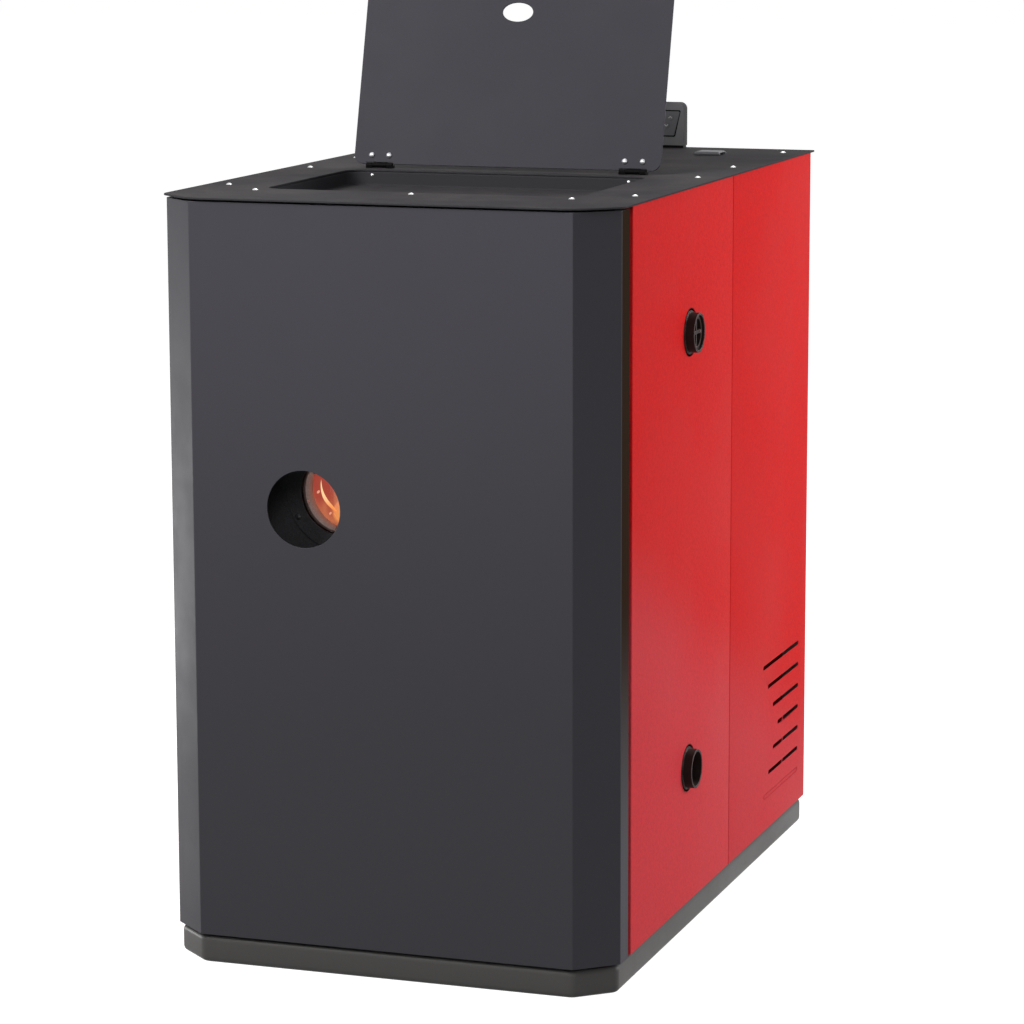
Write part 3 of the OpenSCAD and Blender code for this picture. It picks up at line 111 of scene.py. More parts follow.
class Graph:
    """Builds the node tree of one material or one node group."""

    def __init__(self, tree: bpy.types.NodeTree) -> None:
        """Keeps the tree that the nodes go into."""
        self.tree = tree

    def add(self, kind: str, inputs: Inputs | None = None, **settings: object) -> bpy.types.Node:
        """Adds a node.

        Args:
            kind: The node's type, without its ShaderNode prefix.
            inputs: Values or sockets for its inputs, by name or number.
            settings: The node's own settings.

        Returns:
            The node.
        """
        node = self.tree.nodes.new("ShaderNode" + kind)
        for key, value in settings.items():
            setattr(node, key, value)
        for key, value in (inputs or {}).items():
            if isinstance(value, Socket):
                self.tree.links.new(value, node.inputs[key])
            else:
                node.inputs[key].default_value = value
        return node

    def math(self, operation: str, a: object, b: object = 0.0, clamp: bool = False) -> Socket:
        """Adds a Math node on two values or sockets and returns its output."""
        return self.add("Math", {0: a, 1: b}, operation=operation, use_clamp=clamp).outputs[0]

    def times(self, a: object, b: object, clamp: bool = False) -> Socket:
        """Multiplies two values or sockets and returns the product."""
        return self.math("MULTIPLY", a, b, clamp)

    def vector(self, operation: str, a: object, b: object = (0, 0, 0)) -> Socket:
        """Adds a Vector Math node that gives one value and returns that value."""
        return self.add("VectorMath", {0: a, 1: b}, operation=operation).outputs["Value"]

    def axis(self, vector: object, number: int) -> Socket:
        """Returns one coordinate of a vector: 0, 1 or 2."""
        return self.add("SeparateXYZ", {0: vector}).outputs[number]

    def span(self, value: object, low: float, high: float, to_low: float = 0.0, to_high: float = 1.0) -> Socket:
        """Maps a value smoothly from low..high to to_low..to_high and returns it."""
        inputs = {"Value": value, "From Min": low, "From Max": high, "To Min": to_low, "To Max": to_high}
        return self.add("MapRange", inputs, interpolation_type="SMOOTHSTEP").outputs["Result"]

    def blend(self, factor: object, a: object, b: object) -> Socket:
        """Mixes two colours by a factor and returns the mixed colour."""
        return self.add("Mix", {0: factor, 6: a, 7: b}, data_type="RGBA").outputs[2]

    def noise(self, place: object, scale: object, detail: float = 2.0, rough: float = 0.5) -> Socket:
        """Adds a noise texture and returns its factor."""
        return self.add("TexNoise", {"Vector": place, "Scale": scale, "Detail": detail, "Roughness": rough}).outputs[0]

    def place(self, stretch: Point = (1, 1, 1), centre: Point = (0, 0, 0)) -> Socket:
        """Gives the piece's own coordinates.

        Args:
            stretch: Scale along each axis.
            centre: The point that becomes the origin, in metres.

        Returns:
            The mapped Object coordinates.
        """
        coordinates = self.add("TexCoord").outputs["Object"]
        shift = tuple(-c * s for c, s in zip(centre, stretch))
        return self.add("Mapping", {"Vector": coordinates, "Location": shift, "Scale": stretch}).outputs[0]

    def effect(self, kind: Effect, **inputs: object) -> bpy.types.bpy_prop_collection:
        """Places a shared effect with its inputs by name and returns its outputs."""
        return self.add("Group", inputs, node_tree=effect_group(kind)).outputs

    def bump(self, height: object, distance: float, strength: float = 1.0) -> Socket:
        """Adds a Bump node whose distance is in metres and returns its normal."""
        return self.add("Bump", {"Height": height, "Distance": distance, "Strength": strength}).outputs[0]

    def surface(self, inputs: Inputs) -> None:
        """Adds the material's Principled shader and its output."""
        shader = self.add("BsdfPrincipled", inputs)
        self.add("OutputMaterial", {"Surface": shader.outputs[0]})


def fresh_graph(owner: bpy.types.Material | bpy.types.World) -> Graph:
    """Empties the node tree of a material or world.

    Args:
        owner: The material or world.

    Returns:
        The empty graph.
    """
    owner.use_nodes = True
    owner.node_tree.nodes.clear()
    return Graph(owner.node_tree)


def effect_group(kind: Effect) -> bpy.types.NodeTree:
    """Makes a shared effect the first time, and finds it afterwards.

    Args:
        kind: Which effect.

    Returns:
        Its node group.
    """
    known = bpy.data.node_groups.get(kind.value)
    if known:
        return known
    tree = bpy.data.node_groups.new(kind.value, "ShaderNodeTree")
    wants, gives, make = EFFECTS[kind]
    for name, start in wants.items():
        socket = "NodeSocketVector" if name == "Vector" else "NodeSocketFloat"
        made = tree.interface.new_socket(name, in_out="INPUT", socket_type=socket)
        if start is not None:
            made.default_value = start
    for name in gives:
        tree.interface.new_socket(name, in_out="OUTPUT", socket_type="NodeSocketFloat")
    source = tree.nodes.new("NodeGroupInput")
    target = tree.nodes.new("NodeGroupOutput")
    made = make(Graph(tree), {name: source.outputs[name] for name in wants})
    for name, value in zip(gives, made):
        tree.links.new(value, target.inputs[name])
    return tree


def _peel(g: Graph, i: Sockets) -> tuple[Socket, ...]:
    """Fine orange peel of powder coat, in two sizes.

    Args:
        g: The group's graph.
        i: The group's inputs, by name.

    Returns:
        The values that it puts out, in order.
    """
    coarse = g.noise(i["Vector"], i["Scale"], 1.0)
    fine = g.noise(i["Vector"], g.times(i["Scale"], 2.6), 2.0)
    height = g.math("ADD", g.times(coarse, 0.65), g.times(fine, 0.35))
    return height, g.span(height, 0.36, 0.64)


def _edges(g: Graph, i: Sockets) -> tuple[Socket, ...]:
    """Rubbed edges: where a rounded normal leaves the real one, broken up by noise.

    Args:
        g: The group's graph.
        i: The group's inputs, by name.

    Returns:
        The values that it puts out, in order.
    """
    soft = g.add("Bevel", {"Radius": i["Radius"]}, samples=4).outputs[0]
    sharp = g.add("NewGeometry").outputs["Normal"]
    same = g.vector("DOT_PRODUCT", soft, sharp)
    turned = g.times(g.math("SUBTRACT", 1.0, same), 5.0, True)
    broken = g.span(g.noise(i["Vector"], 60.0, 4.0, 0.7), 0.35, 0.7, 0.2, 1.0)
    return (g.times(g.times(turned, broken), i["Amount"], True),)


def _dust(g: Graph, i: Sockets) -> tuple[Socket, ...]:
    """Dust that lies on what faces up.

    Args:
        g: The group's graph.
        i: The group's inputs, by name.

    Returns:
        The values that it puts out, in order.
    """
    up = g.axis(g.add("TexCoord").outputs["Normal"], 2)
    patchy = g.span(g.noise(i["Vector"], 9.0, 5.0, 0.65), 0.3, 0.75, 0.15, 1.0)
    specks = g.span(g.noise(i["Vector"], 240.0, 2.0), 0.3, 0.7, 0.6, 1.0)
    lying = g.times(g.span(up, 0.75, 1.0), g.times(patchy, specks))
    return (g.times(lying, i["Amount"], True),)


def _cloud(g: Graph, i: Sockets) -> tuple[Socket, ...]:
    """Slow change of tone over a surface, with finer blotches in it.

    Args:
        g: The group's graph.
        i: The group's inputs, by name.

    Returns:
        The values that it puts out, in order.
    """
    slow = g.noise(i["Vector"], i["Scale"], 2.0)
    fine = g.noise(i["Vector"], g.times(i["Scale"], 9.0), 4.0, 0.6)
    both = g.math("ADD", g.times(slow, 0.7), g.times(fine, 0.3))
    return (g.span(both, 0.3, 0.7),)


def _grain(g: Graph, i: Sockets) -> tuple[Socket, ...]:
    """Sandy skin of cast iron and fibre, with pits.

    Args:
        g: The group's graph.
        i: The group's inputs, by name.

    Returns:
        The values that it puts out, in order.
    """
    sand = g.noise(i["Vector"], i["Scale"], 5.0, 0.7)
    cells = g.add("TexVoronoi", {"Vector": i["Vector"], "Scale": g.times(i["Scale"], 0.4)})
    pits = g.span(cells.outputs["Distance"], 0.0, 0.35)
    return g.times(g.math("ADD", sand, pits), 0.5), g.span(sand, 0.35, 0.65)


def _brush(g: Graph, i: Sockets) -> tuple[Socket, ...]:
    """Rolling lines along one axis, given by how the coordinates are stretched."""
    lines = g.noise(i["Vector"], i["Scale"], 4.0, 0.6)
    return lines, g.span(lines, 0.3, 0.7)


def _spangle(g: Graph, i: Sockets) -> tuple[Socket, ...]:
    """Crystal patches of hot-dipped zinc.

    Args:
        g: The group's graph.
        i: The group's inputs, by name.

    Returns:
        The values that it puts out, in order.
    """
    cells = g.add("TexVoronoi", {"Vector": i["Vector"], "Scale": i["Scale"], "Randomness": 1.0})
    tone = g.add("SeparateColor", {0: cells.outputs["Color"]}).outputs[0]
    return (g.math("ADD", g.times(tone, 0.7), g.times(g.noise(i["Vector"], 90.0), 0.3)),)


def _weave(g: Graph, i: Sockets) -> tuple[Socket, ...]:
    """Crossing strands of a braid or a fibre mat.

    Args:
        g: The group's graph.
        i: The group's inputs, by name.

    Returns:
        The values that it puts out, in order.
    """
    wide = {"Vector": i["Vector"], "Scale": i["Scale"], "Distortion": 1.2, "Detail": 2.0}
    one = g.add("TexWave", wide, bands_direction="DIAGONAL").outputs["Fac"]
    turned = g.add("VectorRotate", {"Vector": i["Vector"], "Angle": 1.57}, rotation_type="Y_AXIS").outputs[0]
    two = g.add("TexWave", wide | {"Vector": turned}, bands_direction="DIAGONAL").outputs["Fac"]
    return (g.math("MAXIMUM", one, two),)


EFFECTS = {
    Effect.PEEL: ({"Vector": None, "Scale": 500.0}, ("Height", "Factor"), _peel),
    Effect.EDGES: ({"Vector": None, "Radius": 0.001, "Amount": 1.0}, ("Mask",), _edges),
    Effect.DUST: ({"Vector": None, "Amount": 0.3}, ("Mask",), _dust),
    Effect.CLOUD: ({"Vector": None, "Scale": 3.0}, ("Factor",), _cloud),
    Effect.GRAIN: ({"Vector": None, "Scale": 500.0}, ("Height", "Factor"), _grain),
    Effect.BRUSH: ({"Vector": None, "Scale": 90.0}, ("Height", "Factor"), _brush),
    Effect.SPANGLE: ({"Vector": None, "Scale": 60.0}, ("Factor",), _spangle),
    Effect.WEAVE: ({"Vector": None, "Scale": 300.0}, ("Height",), _weave),
}


@dataclass(frozen=True)
class Finish:
    """What every finish has: the record's material slot and a colour.

    A finish with no slot is named for itself.
    """

    slot: str | None
    colour: Colour
    name: str = ""

    def material(self) -> bpy.types.Material:
        """Finds this finish's material, or makes it the first time.

        Returns:
            The material.
        """
        name = self.name or self.slot
        known = bpy.data.materials.get(name)
        if known is None or "finish" not in known:
            known = bpy.data.materials.new(name)
            self.paint(fresh_graph(known))
            known["finish"] = True
        return known

    def paint(self, g: Graph) -> None:
        """Lays out the material's nodes; each kind of finish has its own way."""
        raise NotImplementedError


@dataclass(frozen=True)
class PowderCoat(Finish):
    """Baked powder coat: orange peel, a slow change of tone, rubbed edges and settled dust.

    Painted light can lie over its lower part, below a height or a sloping line: painted shade on the door, and a
    painted reflection of the floor on the red sides and the door's returns.
    """

    rough: float = 0.42
    peel: float = 420.0
    peel_depth: float = 0.00012
    speckle: float = 0.06
    level: float = 0.08
    edge: Colour = (0.3, 0.3, 0.31)
    wear: float = 0.25
    dust: float = 0.10
    # painted light over the lower part: its strength, top, slope, softness and colour
    painted_low_light: float = 0.0
    painted_low_top: float = 0.4
    painted_low_slope: float = 0.445
    painted_low_soft: float = 0.12
    painted_low_colour: Colour = (0.2, 0.42, 0.54)

    def paint(self, g: Graph) -> None:
        """Lays out the coat's material.

        Args:
            g: The material's graph.
        """
        place = g.place()
        peel = g.effect(Effect.PEEL, Vector=place, Scale=self.peel)
        cloud = g.effect(Effect.CLOUD, Vector=place, Scale=2.5)[0]
        tone = g.blend(cloud, shade(self.colour, 0.93), shade(self.colour, 1.07))
        dips = g.times(peel["Factor"], self.speckle * 4, True)
        tone = g.blend(dips, shade(self.colour, 1 - 2 * self.speckle), tone)
        worn = g.effect(Effect.EDGES, Vector=place, Radius=0.0012, Amount=self.wear)[0]
        tone = g.blend(worn, tone, (*self.edge, 1))
        dust = g.effect(Effect.DUST, Vector=place, Amount=self.dust)[0]
        tone = g.blend(dust, tone, DUST_COLOUR)
        # painted light below the line: painted shade on the door, a painted reflection of the floor on the red sides
        # and the returns
        if self.painted_low_light:
            line = g.vector("DOT_PRODUCT", place, (0, self.painted_low_slope, 1))
            low = g.span(line, self.painted_low_top - self.painted_low_soft, self.painted_low_top + self.painted_low_soft, self.painted_low_light, 0.0)
            tone = g.blend(low, tone, (*self.painted_low_colour, 1))
        rough = g.math("ADD", g.span(cloud, 0, 1, self.rough - 0.04, self.rough + 0.05), g.times(dust, 0.5))
        g.surface({
            "Base Color": tone,
            "Roughness": rough,
            "Specular IOR Level": self.level,
            "Normal": g.bump(peel["Height"], self.peel_depth),
        })


@dataclass(frozen=True)
class BareMetal(Finish):
    """Rolled, galvanised or turned steel: lines or crystal patches, stains, and brighter edges."""

    rough: float = 0.38
    metallic: float = 0.9
    lines: float = 60.0
    stretch: Point = (1, 1, 0.04)
    spangle: float = 0.0
    stain: float = 0.25
    stain_colour: Colour = (0.09, 0.07, 0.06)
    depth: float = 0.00005

    def paint(self, g: Graph) -> None:
        """Lays out the metal's material.

        Args:
            g: The material's graph.
        """
        place = g.place()
        brush = g.effect(Effect.BRUSH, Vector=g.place(self.stretch), Scale=self.lines)
        cloud = g.effect(Effect.CLOUD, Vector=place, Scale=6.0)[0]
        tone = g.blend(brush["Factor"], shade(self.colour, 0.86), shade(self.colour, 1.1))
        if self.spangle:
            cells = g.effect(Effect.SPANGLE, Vector=place, Scale=self.spangle)[0]
            tone = g.blend(g.times(cells, 0.45), tone, shade(self.colour, 0.6))
        stained = g.times(g.span(cloud, 0.55, 1.0), self.stain)
        tone = g.blend(stained, tone, (*self.stain_colour, 1))
        worn = g.effect(Effect.EDGES, Vector=place, Radius=0.0008, Amount=0.5)[0]
        tone = g.blend(worn, tone, shade(self.colour, 1.5))
        matt = g.span(cloud, 0, 1, self.rough - 0.06, self.rough + 0.1)
        g.surface({
            "Base Color": tone,
            "Metallic": self.metallic,
            "Roughness": g.math("ADD", matt, g.times(stained, 0.4)),
            "Normal": g.bump(brush["Height"], self.depth),
        })


@dataclass(frozen=True)
class CastSkin(Finish):
    """Sand-cast iron under stove black, greyer where it is rubbed."""

    grain: float = 700.0
    depth: float = 0.0004
    rough: float = 0.62

    def paint(self, g: Graph) -> None:
        """Lays out the iron's material.

        Args:
            g: The material's graph.
        """
        place = g.place()
        grain = g.effect(Effect.GRAIN, Vector=place, Scale=self.grain)
        cloud = g.effect(Effect.CLOUD, Vector=place, Scale=9.0)[0]
        tone = g.blend(grain["Factor"], shade(self.colour, 0.75), shade(self.colour, 1.2))
        tone = g.blend(g.times(cloud, 0.35), tone, shade(self.colour, 0.5))
        worn = g.effect(Effect.EDGES, Vector=place, Radius=0.0015, Amount=0.35)[0]
        tone = g.blend(worn, tone, shade(self.colour, 3.5))
        g.surface({
            "Base Color": tone,
            "Metallic": 0.2,
            "Roughness": g.span(cloud, 0, 1, self.rough - 0.08, self.rough + 0.12),
            "Specular IOR Level": 0.2,
            "Normal": g.bump(grain["Height"], self.depth),
        })


@dataclass(frozen=True)
class Mineral(Finish):
    """Pressed board, fibre or rope: grains or strands, flecks, and soot that grows towards a height.

    Scorching and a painted glow of firelight brown it towards the fire, round a centre.
    """

    weave: float = 0.0
    grain: float = 260.0
    depth: float = 0.0008
    soot: float = 0.0
    soot_low: float = 0.3
    soot_high: float = 0.8
    scorch_and_glow: float = 0.0
    scorch_and_glow_y: Pair = (-0.411, -0.386)
    scorch_and_glow_centre: Point = (-0.108, 0.0, 0.705)
    scorch_and_glow_radii: Pair = (0.064, 0.09)

    def paint(self, g: Graph) -> None:
        """Lays out the material of the board or rope.

        Args:
            g: The material's graph.
        """
        place = g.place()
        grain = g.effect(Effect.GRAIN, Vector=place, Scale=self.grain)
        height = grain["Height"]
        if self.weave:
            strands = g.effect(Effect.WEAVE, Vector=place, Scale=self.weave)[0]
            height = g.math("ADD", g.times(height, 0.3), strands)
        tone = g.blend(grain["Factor"], shade(self.colour, 0.72), shade(self.colour, 1.12))
        fleck = g.span(g.noise(place, self.grain * 0.5, 1.0), 0.62, 0.7, 0.0, 0.6)
        tone = g.blend(fleck, tone, shade(self.colour, 1.5))
        rise = g.axis(place, 2)
        black = g.math("ADD", g.span(rise, self.soot_low, self.soot_high, 0.15, 1.0), g.noise(place, 22.0, 4.0), True)
        black = g.times(g.times(black, g.noise(place, 14.0, 3.0)), self.soot * 2, True)
        tone = g.blend(black, tone, SOOT_COLOUR)
        # brown-orange towards the fire's tunnel: scorching with a painted glow of firelight
        if self.scorch_and_glow:
            depth = g.span(g.axis(place, 1), *self.scorch_and_glow_y, 0.0, self.scorch_and_glow)
            away = g.vector("LENGTH", g.place((1, 0, 1), self.scorch_and_glow_centre))
            near = g.span(away, *self.scorch_and_glow_radii, 1.0, 0.0)
            tone = g.blend(g.times(depth, near), tone, SCORCH_AND_GLOW_COLOUR)
        g.surface({
            "Base Color": tone,
            "Roughness": g.span(height, 0, 1, 0.98, 0.86),
            "Specular IOR Level": 0.15,
            "Normal": g.bump(height, self.depth),
        })


@dataclass(frozen=True)
class Moulded(Finish):
    """Moulded plastic: spark-eroded grain or gloss, with faint finger marks and dust."""

    rough: float = 0.5
    grain: float = 1500.0
    depth: float = 0.00006
    coat: float = 0.0
    level: float = 0.35
    dust: float = 0.1

    def paint(self, g: Graph) -> None:
        """Lays out the plastic's material.

        Args:
            g: The material's graph.
        """
        place = g.place()
        grain = g.effect(Effect.GRAIN, Vector=place, Scale=self.grain)
        cloud = g.effect(Effect.CLOUD, Vector=place, Scale=14.0)[0]
        tone = g.blend(cloud, shade(self.colour, 0.9), shade(self.colour, 1.1))
        dust = g.effect(Effect.DUST, Vector=place, Amount=self.dust)[0]
        tone = g.blend(dust, tone, DUST_COLOUR)
        g.surface({
            "Base Color": tone,
            "Roughness": g.span(cloud, 0, 1, max(0.04, self.rough - 0.05), self.rough + 0.07),
            "Specular IOR Level": self.level,
            "Coat Weight": self.coat,
            "Coat Roughness": 0.05,
            "Normal": g.bump(grain["Height"], self.depth),
        })


@dataclass(frozen=True)
class SightPane(Finish):
    """Heat-proof glass, clear in the middle and browned by smoke towards its rim."""

    centre: Point = (-0.119, -0.427, 0.7)
    radius: float = 0.058

    def paint(self, g: Graph) -> None:
        """Lays out the pane's material.

        Args:
            g: The material's graph.
        """
        away = g.vector("LENGTH", g.place((1, 0, 1), self.centre))
        streak = g.noise(g.place((1, 1, 0.25)), 60.0, 4.0, 0.6)
        smoke = g.times(g.span(away, self.radius * 0.45, self.radius, 0.05, 1.0), streak, True)
        g.surface({
            "Base Color": g.blend(smoke, shade(self.colour, 1), (0.62, 0.55, 0.5, 1)),
            "Roughness": g.span(smoke, 0, 1, 0.02, 0.12),
            "Transmission Weight": 1.0,
            "IOR": 1.2,
            "Specular IOR Level": 0.3,
        })


@dataclass(frozen=True)
class Fire(Finish):
    """Burning gas or glowing coals: a colour that runs from hot to cool with height and noise."""

    hot: Colour = (1.0, 0.62, 0.28)
    low: float = 0.34
    high: float = 0.74
    strength: float = 1.0
    scale: float = 26.0
    thin: float = 0.0
    centre: Point = (0.0, 0.0, 0.0)
    spread: Point | None = None

    def paint(self, g: Graph) -> None:
        """Lays out the fire's material; with a spread it fades out towards an ellipsoid round its centre.

        Args:
            g: The material's graph.
        """
        streaks = g.noise(g.place((1, 1, 0.28)), self.scale, 3.0, 0.55)
        up = g.span(g.axis(g.place(), 2), self.low, self.high)
        cool = g.span(g.math("ADD", streaks, g.times(up, 0.35)), 0.38, 0.82)
        glow = g.blend(cool, (*self.hot, 1), (*self.colour, 1))
        alpha = g.math("SUBTRACT", 1.0, g.times(g.span(cool, 0.5, 1.0), self.thin), True)
        if self.spread:
            away = g.vector("LENGTH", g.place((1 / self.spread[0], 0, 1 / self.spread[2]), self.centre))
            alpha = g.span(g.math("ADD", away, g.times(streaks, 0.2)), 0.62, 1.08, 1.0, 0.0)
        g.surface({
            "Base Color": (0.02, 0.01, 0.005, 1),
            "Roughness": g.span(streaks, 0, 1, 0.9, 1.0),
            "Specular IOR Level": 0.0,
            "Emission Color": glow,
            "Emission Strength": self.strength,
            "Alpha": alpha,
        })


@dataclass(frozen=True)
class PressedWood(Finish):
    """Wood pellets: compressed sawdust with a slight glaze and darker bark."""

    def paint(self, g: Graph) -> None:
        """Lays out the pellets' material.

        Args:
            g: The material's graph.
        """
        place = g.place()
        dust = g.effect(Effect.GRAIN, Vector=place, Scale=900.0)
        lump = g.effect(Effect.CLOUD, Vector=place, Scale=55.0)[0]
        tone = g.blend(lump, shade(self.colour, 0.62), shade(self.colour, 1.25))
        tone = g.blend(g.times(dust["Factor"], 0.4), tone, shade(self.colour, 0.55))
        g.surface({
            "Base Color": tone,
            "Roughness": g.span(lump, 0, 1, 0.5, 0.75),
            "Normal": g.bump(dust["Height"], 0.0003),
        })


# the door paint darkens towards the bottom: painted shade
DOOR_PAINT = PowderCoat("door_paint", linear(67, 66, 72), level=0.1, painted_low_light=1.0, painted_low_top=0.72, painted_low_slope=0.0,
                        painted_low_soft=0.42, painted_low_colour=linear(54, 53, 57))
# a darker copy of the door paint for the chamfers: painted shade
DOOR_CHAMFER_SHADE = PowderCoat("door_paint", linear(52, 51, 56), name="door_chamfer_shade", rough=0.58, level=0.13)
# a copy of the door paint with its tone set to the light that falls on the lid: painted light
LID_PAINTED_LIGHT = PowderCoat("door_paint", linear(64, 63, 69), name="lid_painted_light", level=0.04)
# a brown copy of the door paint for the returns: painted shade tinted by a painted reflection of the red sides, lighter
# low down with a painted reflection of the floor
DOOR_RETURN_PAINTED_LIGHT = PowderCoat("door_paint", linear(51, 39, 31), name="door_return_painted_light", level=0.0, painted_low_light=1.0, painted_low_top=0.38,
                         painted_low_slope=0.0, painted_low_soft=0.22, painted_low_colour=linear(88, 87, 91))
PLATE_PAINT = PowderCoat("plate_paint", linear(59, 58, 61), dust=0.12, rough=0.6, level=0.003)
# paler below a line that rises towards the front: a painted reflection of the floor
RED_PAINT = PowderCoat("red_paint", linear(210, 35, 35), rough=0.5, peel=250, speckle=0.12, level=0.012,
                       peel_depth=0.0004, edge=linear(120, 20, 24), wear=0.3, painted_low_light=0.07)
# a much lighter copy of the plate paint for the console's face, against the lid's shadow: painted light
CONSOLE_LIT_PAINT = PowderCoat("plate_paint", linear(146, 146, 148), name="console_lit_paint", dust=0.12, level=0.01)
# a darker copy of the plate paint for all of the console that doesn't face the front: painted shade
CONSOLE_SHADED_SIDE = PowderCoat("plate_paint", linear(62, 62, 64), name="console_shaded_side", level=0.01)
# near black for the groove round the facia: painted shade
CONSOLE_GROOVE_SHADE = PowderCoat("plate_paint", linear(10, 10, 11), name="console_groove_shade", level=0.0, dust=0.0, wear=0.0)
# a lighter copy of the plate paint for the cable cover, against the lid's shadow: painted light
COVER_LIT_PAINT = PowderCoat("plate_paint", linear(124, 124, 128), name="cover_lit_paint", level=0.02)
PLINTH_PAINT = PowderCoat("plinth_paint", linear(75, 74, 73), dust=0.2, wear=0.6)
BLACK_PAINT = PowderCoat("black_paint", linear(16, 15, 15), peel=600, level=0.02, edge=(0.05, 0.05, 0.05))
MOTOR_PAINT = PowderCoat("motor_paint", linear(78, 82, 88), peel=300, dust=0.3)
PIPE_BLACK = PowderCoat("pipe_black", linear(34, 22, 21), peel=300, rough=0.55, edge=linear(196, 170, 166), wear=1.0)
ZINC_SHEET = BareMetal("zinc_sheet", linear(176, 178, 182), spangle=55, stain=0.15)
BOILER_STEEL = BareMetal("boiler_steel", linear(96, 96, 98), rough=0.5, metallic=0.75, stain=0.6)
SCREW_STEEL = BareMetal("screw_steel", linear(226, 226, 228), rough=0.24, lines=300, stain=0.05)
# a darker copy of the screw steel for the lid bolts, dimming their reflections: painted shade
BOLT_STEEL_PAINTED_SHADE = BareMetal("screw_steel", linear(186, 186, 190), name="bolt_steel_painted_shade", rough=0.34, lines=300, stain=0.1)
CAST = CastSkin("cast", linear(72, 72, 75))
GLASS_CLEAR = SightPane("glass_clear", (0.93, 0.9, 0.87))
ROPE_FIBRE = Mineral("rope_fibre", linear(196, 188, 172), weave=170, depth=0.0012)
BOARD_FIBRE = Mineral("board_fibre", linear(200, 180, 120), weave=70, grain=500, depth=0.001)
# browned round its tunnel: scorching with a painted glow of firelight
DOOR_BOARD = Mineral("board_fibre", linear(168, 164, 166), name="door_board", grain=500, soot=0.25, scorch_and_glow=0.8)
LINING_BOARD = Mineral("lining_board", linear(178, 164, 146), soot=0.5)
GREY_PLASTIC = Moulded("grey_plastic", linear(196, 196, 190))
BLACK_PLASTIC = Moulded("black_plastic", linear(20, 20, 21), level=0.1)
FACIA_PLASTIC = Moulded("facia_plastic", linear(124, 124, 127), rough=0.55, level=0.05)
WINDOW_PLASTIC = Moulded("window_plastic", linear(12, 13, 16), rough=0.08, depth=0.0, coat=1.0)
SWITCH_PLASTIC = Moulded("switch_plastic", linear(190, 22, 22), rough=0.18, coat=0.6, depth=0.00001)
WHITE_PRINT = Moulded(None, linear(226, 226, 224), name="white_print", rough=0.5, dust=0.0)
FLAME = Fire(None, linear(196, 84, 46), name="flame", thin=0.5)
FLAME_GLOW = Fire(None, linear(172, 74, 62), name="flame_glow", hot=linear(206, 122, 86), scale=40,
                  low=0.66, high=0.74, centre=(-0.168, -0.318, 0.684), spread=(0.082, 0.05, 0.062))
FLAME_HEART = Fire(None, linear(255, 214, 160), name="flame_heart", hot=linear(250, 146, 74), scale=8,
                   strength=1.12, low=0.668, high=0.7)
FLAME_FOOT = Fire(None, linear(240, 146, 104), name="flame_foot", hot=linear(244, 156, 92), scale=40,
                  low=0.66, high=0.68, centre=(-0.133, -0.3665, 0.6665), spread=(0.017, 0.002, 0.021))
# glowing specks, partly flying embers and partly painted glints
SPARK_AND_GLINT = Fire(None, linear(240, 168, 140), name="spark_and_glint", hot=linear(246, 160, 116), scale=8)
EMBERS = Fire(None, linear(120, 22, 8), name="embers", hot=linear(255, 150, 60), scale=90,
              strength=1.4, low=0.3, high=0.6)
PELLETS = PressedWood(None, linear(186, 146, 98), name="pressed_pellets")


# Points of a CAD mesh closer than MERGE metres are one, faces within FLAT of each other are one, and edges
# that turn more than ROUND_FROM are rounded. FAR is beyond every wall of a board.
MERGE = 2e-6
FLAT = math.radians(0.3)
ROUND_FROM = math.radians(28)
FAR = 9.0


def publish(name: str, bm: bmesh.types.BMesh, finish: Finish, body: str, smooth: float = 35.0) -> bpy.types.Object:
    """Turns a bmesh into a finished piece that rides on a body.

    Args:
        name: The piece's name.
        bm: Its mesh, in place; it is freed here.
        finish: Its finish.
        body: The CAD body that it rides on.
        smooth: Edges that turn less than this many degrees are shaded smooth.

    Returns:
        The piece.
    """
    mesh = bpy.data.meshes.new(name)
    bm.to_mesh(mesh)
    bm.free()
    if "custom_normal" in mesh.attributes:
        mesh.attributes.remove(mesh.attributes["custom_normal"])
    mesh.polygons.foreach_set("use_smooth", [True] * len(mesh.polygons))
    mesh.set_sharp_from_angle(angle=math.radians(smooth))
    mesh.materials.append(finish.material())
    piece = bpy.data.objects.new(name, mesh)
    bpy.context.scene.collection.objects.link(piece)
    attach(piece, body)
    log.info("%s: %d faces, rides on %s", name, len(mesh.polygons), body)
    return piece


def rounded_copy(node: str, finish: Finish, edge: float, steps: int) -> bpy.types.Object:
    """Stands a copy of a CAD solid with rounded edges in its place.

    Args:
        node: The CAD node.
        finish: Its finish.
        edge: Width of the rounding, in metres.
        steps: Segments of the rounding.

    Returns:
        The piece.
    """
    source = FRAME["nodes"][node]
    bm = bmesh.new()
    bm.from_mesh(source.data)
    bmesh.ops.remove_doubles(bm, verts=bm.verts, dist=MERGE)
    bmesh.ops.dissolve_limit(bm, angle_limit=FLAT, verts=bm.verts, edges=bm.edges)
    piece = publish(node + "_piece", bm, finish, source["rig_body"])
    bevel = piece.modifiers.new("rounding", "BEVEL")
    bevel.width = edge
    bevel.segments = steps
    bevel.limit_method = "ANGLE"
    bevel.angle_limit = ROUND_FROM
    bevel.use_clamp_overlap = False
    bevel.harden_normals = True
    bevel.miter_outer = "MITER_ARC"
    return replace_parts(piece, node)


def dress(name: str, finish: Finish) -> None:
    """Gives a CAD solid that stays as it is a finish.

    Args:
        name: The solid's node.
        finish: The finish.
    """
    node = FRAME["nodes"][name]
    node.data.materials.clear()
    node.data.materials.append(finish.material())
    log.info("%s: CAD solid in %s", name, finish.slot)


Copies = tuple[tuple[Finish, float, int, str], ...]
Solids = tuple[tuple[Finish, str], ...]


